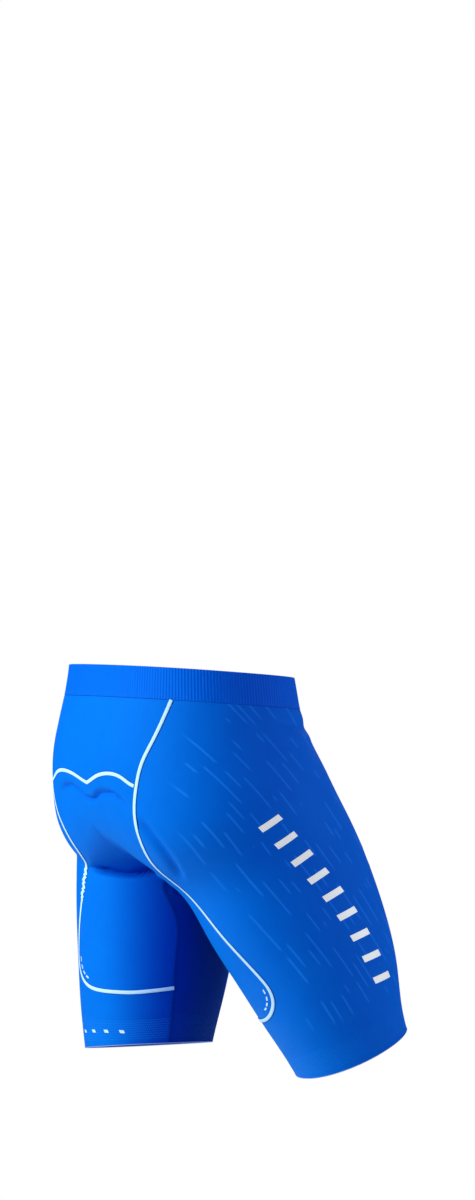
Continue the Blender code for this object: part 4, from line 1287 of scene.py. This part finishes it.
def object_place(tree):
    return put(tree, "ShaderNodeTexCoord").outputs["Object"]


def mixed(tree, share, a, b):
    """A colour mix, as its output."""
    made = put(tree, "ShaderNodeMix", {0: share}, data_type="RGBA")
    for index, value in ((6, a), (7, b)):
        if isinstance(value, bpy.types.NodeSocket):
            tree.links.new(value, made.inputs[index])
        else:
            made.inputs[index].default_value = (*value, 1)
    return made.outputs[2]


def new_group(name, values, outputs):
    """A node group from a place and some values to some masks or heights."""
    tree = bpy.data.node_groups.new(name, "ShaderNodeTree")
    add = tree.interface.new_socket
    add("Place", in_out="INPUT", socket_type="NodeSocketVector")
    for label, value in values.items():
        add(label, in_out="INPUT", socket_type="NodeSocketFloat").default_value = value
    for label in outputs:
        add(label, in_out="OUTPUT", socket_type="NodeSocketFloat")
    return tree, tree.nodes.new("NodeGroupInput").outputs, tree.nodes.new("NodeGroupOutput").inputs


def knit_group():
    """Warp knit: fine wales with a zigzag of loops, and a tone of slow random mottling of the dye plus
    painted shade between the wales.
    """
    tree, given, result = new_group("warp_knit", dict(Wale=0.0011), ("Height", "Tone", "Fuzz"))
    place = axes(tree, given["Place"])
    across = calc(tree, "DIVIDE", place["X"], given["Wale"])
    course = calc(tree, "DIVIDE", place["Y"], given["Wale"])
    lean = calc(tree, "MULTIPLY_ADD", calc(tree, "PINGPONG", course, 1.0), 0.35, across)
    wale = calc(tree, "PINGPONG", lean, 0.5)
    loop = calc(tree, "SINE", calc(tree, "MULTIPLY", calc(tree, "ADD", course, wale), 2 * np.pi))
    height = calc(tree, "MULTIPLY_ADD", loop, 0.22, calc(tree, "MULTIPLY", wale, 2.0))
    fuzz = noise(tree, given["Place"], 2600.0, 2.0)
    mottle = calc(tree, "SUBTRACT", noise(tree, given["Place"], 34.0, 3.0), 0.5)
    # tone: random dye mottling, plus painted shade darker between the wales
    tone = calc(tree, "MULTIPLY_ADD", mottle, 0.9, calc(tree, "MULTIPLY", wale, 0.7))
    tree.links.new(calc(tree, "MULTIPLY_ADD", fuzz, 0.5, height), result["Height"])
    tree.links.new(calc(tree, "ADD", tone, 0.25), result["Tone"])
    tree.links.new(fuzz, result["Fuzz"])
    return tree


def stripe_group():
    """Broken slanted pinstripes of uneven length, as a mask."""
    tree, given, result = new_group("broken_pinstripe", dict(Pitch=0.0118, Width=0.0022), ["Mask"])
    place = axes(tree, given["Place"])
    lane = calc(tree, "DIVIDE", place["X"], given["Pitch"])
    number = calc(tree, "FLOOR", lane)
    white = put(tree, "ShaderNodeTexWhiteNoise", {"W": number}, noise_dimensions="1D")
    random = white.outputs["Value"]
    wobble = calc(tree, "MULTIPLY_ADD", random, 0.5, 0.25)
    off = calc(tree, "ABSOLUTE", calc(tree, "SUBTRACT", calc(tree, "FRACT", lane), wobble))
    metres = calc(tree, "MULTIPLY", off, given["Pitch"])
    half = calc(tree, "MULTIPLY", given["Width"], 0.5)
    line = soft_mask(tree, metres, calc(tree, "MULTIPLY", half, 1.7), calc(tree, "MULTIPLY", half, 0.5))
    period = calc(tree, "MULTIPLY_ADD", random, 0.036, 0.046)
    step = calc(tree, "MULTIPLY_ADD", random, 7.3, calc(tree, "DIVIDE", place["Y"], period))
    dash = calc(tree, "FLOOR", step)
    pair = put(tree, "ShaderNodeCombineXYZ", {"X": number, "Y": dash}).outputs[0]
    second = put(tree, "ShaderNodeTexWhiteNoise", {"Vector": pair}, noise_dimensions="2D").outputs["Value"]
    duty = calc(tree, "MULTIPLY_ADD", second, 0.95, 0.02)
    place_in = calc(tree, "FRACT", step)
    on = soft_mask(tree, calc(tree, "SUBTRACT", duty, place_in), 0.0, 0.12)
    start = soft_mask(tree, place_in, 0.0, 0.10)
    mask = calc(tree, "MULTIPLY", calc(tree, "MULTIPLY", line, on), calc(tree, "MULTIPLY", start, place["Z"]))
    tree.links.new(mask, result["Mask"])
    return tree


def dot_group():
    """A band of small grip dots above the hem, as a mask."""
    tree, given, result = new_group("hem_dots", dict(Pitch=0.0037, Top=0.034), ["Mask"])
    place = axes(tree, given["Place"])
    row = calc(tree, "DIVIDE", place["Y"], calc(tree, "MULTIPLY", given["Pitch"], 0.8))
    shift = calc(tree, "MULTIPLY", calc(tree, "FLOOR", row), 0.5)
    column = calc(tree, "ADD", calc(tree, "DIVIDE", place["X"], given["Pitch"]), shift)
    across = calc(tree, "SUBTRACT", calc(tree, "FRACT", column), 0.5)
    up = calc(tree, "SUBTRACT", calc(tree, "FRACT", row), 0.5)
    square = calc(tree, "ADD", calc(tree, "POWER", across, 2.0), calc(tree, "POWER", up, 2.0))
    gap = calc(tree, "SQRT", square)
    dot = soft_mask(tree, gap, 0.38, 0.24)
    top = soft_mask(tree, place["Y"], given["Top"], calc(tree, "SUBTRACT", given["Top"], 0.004))
    low = soft_mask(tree, place["Y"], 0.004, 0.006)
    tree.links.new(calc(tree, "MULTIPLY", dot, calc(tree, "MULTIPLY", top, low)), result["Mask"])
    return tree


def new_material(name, roughness, sheen=0.0):
    material = bpy.data.materials.new(name)
    material.use_nodes = True
    tree = material.node_tree
    shader = tree.nodes["Principled BSDF"]
    shader.inputs["Roughness"].default_value = roughness
    shader.inputs["Specular IOR Level"].default_value = 0.22
    shader.inputs["Specular Tint"].default_value = (0.0, 0.42, 1.0, 1)
    shader.inputs["Sheen Weight"].default_value = sheen
    shader.inputs["Sheen Roughness"].default_value = 0.5
    shader.inputs["Sheen Tint"].default_value = (0.0, 0.45, 1.0, 1)
    return material, tree, shader


def bumped(tree, shader, height, distance, strength=0.6):
    bump = put(tree, "ShaderNodeBump", {"Height": height, "Distance": distance, "Strength": strength})
    tree.links.new(bump.outputs["Normal"], shader.inputs["Normal"])


def cloth_material(name, dye, groups, striped=False, dots_share=0.0):
    """Knit cloth with mottled dye, painted shade toward the inner panels and in creases, and where asked,
    broken pinstripes and hem dots.
    """
    material, tree, shader = new_material(name, 0.62, 0.12)
    place = cloth_place(tree)
    knit = put(tree, "ShaderNodeGroup", {"Place": place}, node_tree=groups["knit"]).outputs
    # knit tone: mottled dye, with painted shade between the wales
    tint = mixed(tree, knit["Tone"], COLOURS[dye + "_dark"], COLOURS[dye])
    # painted shade toward the inner panels and in creases
    painted_shade_share = put(tree, "ShaderNodeAttribute", attribute_name="painted_shade_share").outputs["Fac"]
    tint = mixed(tree, painted_shade_share, tint, COLOURS["shade"])
    height = knit["Height"]
    if striped:
        lane = put(tree, "ShaderNodeAttribute", attribute_name="stripe_place").outputs["Vector"]
        stripe = put(tree, "ShaderNodeGroup", {"Place": lane}, node_tree=groups["stripe"]).outputs["Mask"]
        tint = mixed(tree, calc(tree, "MULTIPLY", stripe, STRIPE_SHARE), tint, COLOURS["stripe"])
    if dots_share:
        dots = put(tree, "ShaderNodeGroup", {"Place": place}, node_tree=groups["dots"]).outputs["Mask"]
        tint = mixed(tree, calc(tree, "MULTIPLY", dots, dots_share), tint, COLOURS["stripe"])
        height = calc(tree, "MULTIPLY_ADD", dots, 1.6, height)
    tree.links.new(tint, shader.inputs["Base Color"])
    tree.links.new(calc(tree, "MULTIPLY_ADD", knit["Fuzz"], 0.16, 0.54), shader.inputs["Roughness"])
    bumped(tree, shader, height, KNIT_RELIEF)
    return material


def rib_material(groups):
    """Ribbed elastic of the waistband, with painted shade in the valleys between its ribs."""
    material, tree, shader = new_material("ribbed_elastic", 0.6, 0.10)
    place = cloth_place(tree)
    knit = put(tree, "ShaderNodeGroup", {"Place": place}, node_tree=groups["knit"]).outputs
    rib = calc(tree, "PINGPONG", calc(tree, "DIVIDE", axes(tree, place)["X"], RIB_PITCH), 1.0)
    height = calc(tree, "MULTIPLY_ADD", rib, 1.6, calc(tree, "MULTIPLY", knit["Height"], 0.4))
    # tone: painted shade darker in the rib valleys, with the knit's tone
    tone = calc(tree, "MULTIPLY_ADD", rib, 0.6, calc(tree, "MULTIPLY", knit["Tone"], 0.4))
    tint = mixed(tree, tone, COLOURS["band_valley_shade"], COLOURS["band"])
    tree.links.new(tint, shader.inputs["Base Color"])
    bumped(tree, shader, height, 0.0004)
    return material


def tape_material():
    """Pale bonded tape with painted shadow along its edges and a fine cross weave."""
    material, tree, shader = new_material("pale_tape", 0.42)
    place = cloth_place(tree)
    axis = axes(tree, place)
    # painted shadow: the tape darkens toward its edges
    edge = soft_mask(tree, calc(tree, "ABSOLUTE", axis["X"]), 0.70, 0.86)
    pale = mixed(tree, noise(tree, place, 60.0, 3.0), COLOURS["pale"], COLOURS["pale_worn"])
    tree.links.new(mixed(tree, edge, pale, COLOURS["tape_edge_shadow"]), shader.inputs["Base Color"])
    weave = calc(tree, "SINE", calc(tree, "MULTIPLY", axis["Y"], 9000.0))
    bumped(tree, shader, weave, 0.00008, 0.4)
    return material


def print_material(name, colour, worn_colour, roughness, glow=0.0):
    """Heat-pressed print: a smooth film with slight cracks in tone, and where asked a painted glow of its own
    colour, standing in for the reflective film's return of light.
    """
    material, tree, shader = new_material(name, roughness)
    shader.inputs["Specular IOR Level"].default_value = 0.5
    shader.inputs["Specular Tint"].default_value = (1, 1, 1, 1)
    # painted light: emission in the print's own colour, as strong as glow
    shader.inputs["Emission Color"].default_value = (*colour, 1)
    shader.inputs["Emission Strength"].default_value = glow
    worn = noise(tree, object_place(tree), 420.0, 4.0)
    tint = mixed(tree, soft_mask(tree, worn, 0.40, 0.66), colour, worn_colour)
    tree.links.new(tint, shader.inputs["Base Color"])
    bumped(tree, shader, worn, 0.00006, 0.5)
    return material


def thread_material(name, colour):
    material, tree, shader = new_material(name, 0.55, 0.1)
    ply = noise(tree, object_place(tree), 1800.0, 2.0)
    dark = tuple(c * 0.7 for c in colour)
    tree.links.new(mixed(tree, ply, dark, colour), shader.inputs["Base Color"])
    bumped(tree, shader, ply, 0.00012, 0.5)
    return material


def pad_material(groups):
    """Brushed knit over foam."""
    material, tree, shader = new_material("brushed_pad_knit", 0.85, 0.25)
    wires = {"Place": cloth_place(tree), "Wale": 0.0016}
    knit = put(tree, "ShaderNodeGroup", wires, node_tree=groups["knit"]).outputs
    dark = tuple(c * 0.75 for c in COLOURS["pad"])
    # knit tone: mottled dye, with painted shade between the wales
    tree.links.new(mixed(tree, knit["Tone"], dark, COLOURS["pad"]), shader.inputs["Base Color"])
    bumped(tree, shader, knit["Height"], 0.0004)
    return material


# Studio

VIEW_AZIMUTH = 235.0
VIEW_DISTANCE = 4.2
VIEW_LENS = 105.0
VIEW_SIDE = 0.069
VIEW_HEIGHT = 0.085


def add_light(name, place, size, energy, colour, target=(0, 0, -0.2)):
    data = bpy.data.lights.new(name, "AREA")
    data.shape = "DISK"
    data.size = size
    data.energy = energy
    data.color = colour
    light = bpy.data.objects.new(name, data)
    light.location = place
    aim = Vector(target) - Vector(place)
    light.rotation_euler = aim.to_track_quat("-Z", "Y").to_euler()
    bpy.context.scene.collection.objects.link(light)


def add_studio():
    scene = bpy.context.scene
    scene.view_settings.view_transform = "Standard"
    turn = np.radians(VIEW_AZIMUTH)
    near = np.array([np.sin(turn), -np.cos(turn), 0])
    right = np.array([-near[1], near[0], 0])
    up = np.array([0, 0, 1.0])
    data = bpy.data.cameras.new("camera")
    data.lens = VIEW_LENS
    camera = bpy.data.objects.new("camera", data)
    camera.location = near * VIEW_DISTANCE + right * VIEW_SIDE + up * VIEW_HEIGHT
    camera.rotation_euler = Vector(-near).to_track_quat("-Z", "Y").to_euler()
    scene.collection.objects.link(camera)
    scene.camera = camera
    add_light("key", near * 0.95 - right * 1.95 + up * 0.85, 1.2, 72, (1.0, 1.0, 1.0))
    add_light("fill", near * 0.2 + right * 2.4 + up * 0.5, 1.6, 24, (0.82, 0.90, 1.0))
    add_light("front", -near * 2.2 + right * 0.2 + up * 1.2, 1.8, 20, (0.90, 0.96, 1.0))
    world = bpy.data.worlds.new("studio")
    world.use_nodes = True
    tree = world.node_tree
    tree.nodes.clear()
    around = put(tree, "ShaderNodeBackground", {"Color": (0.08, 0.18, 1.0, 1), "Strength": 0.34})
    seen = put(tree, "ShaderNodeBackground", {"Color": (1, 1, 1, 1), "Strength": 1.0})
    path = put(tree, "ShaderNodeLightPath")
    wires = {0: path.outputs["Is Camera Ray"], 1: around.outputs[0], 2: seen.outputs[0]}
    mix = put(tree, "ShaderNodeMixShader", wires)
    end = put(tree, "ShaderNodeOutputWorld", {0: mix.outputs[0]})
    end.is_active_output = True
    scene.world = world
    add_floor()


def add_floor():
    """A plain pale floor a metre below the waist, small enough to stay out of the photograph's view."""
    steps, radius, height = 64, 1.7, -1.0
    turn = np.linspace(0, 2 * np.pi, steps, endpoint=False)
    points = np.stack([radius * np.cos(turn), radius * np.sin(turn), np.full(steps, height)], -1)
    mesh = bpy.data.meshes.new("studio_floor")
    mesh.from_pydata(points.tolist(), [], [list(range(steps))])
    material, _, shader = new_material("pale_floor", 0.9)
    shader.inputs["Base Color"].default_value = (0.90, 0.88, 0.80, 1)
    mesh.materials.append(material)
    floor = bpy.data.objects.new("studio_floor", mesh)
    bpy.context.scene.collection.objects.link(floor)


def main():
    groups = dict(knit=knit_group(), stripe=stripe_group(), dots=dot_group())
    azure = cloth_material("azure_knit_seat", "azure", groups)
    side = cloth_material("azure_knit_side", "azure", groups, True, SIDE_DOTS_SHARE)
    deep = cloth_material("deep_azure_knit_inner", "deep", groups, False, INNER_DOTS_SHARE)
    pale = tape_material()
    pale_print = print_material("pale_print", COLOURS["pale"], COLOURS["pale_cracked"], 0.4)
    silver = print_material("silver_print", COLOURS["silver"], COLOURS["silver_worn"], 0.38, SILVER_PAINTED_GLOW)
    thread = thread_material("azure_thread", COLOURS["thread"])
    raw = thread_material("raw_hem_edge", COLOURS["raw_edge"])
    seams = {name: seams_of(name) for name in LEGS}
    yoke_cloth(seams, azure)
    seat_cloth(seams, azure)
    for name, s in seams.items():
        side_cloth(name, s, side)
        inner_cloth(name, s, deep)
    waistband(rib_material(groups))
    add_tapes(seams, pale)
    add_thigh_bars(silver)
    add_knee_dashes(seams, pale_print)
    add_hem_ticks(pale_print)
    add_hem_edges(seams, raw)
    add_stitches(seams, thread, thread_material("deep_thread", COLOURS["deep"]))
    seat_pad(pad_material(groups))
    add_studio()


CREASES = crease_lines()
main()
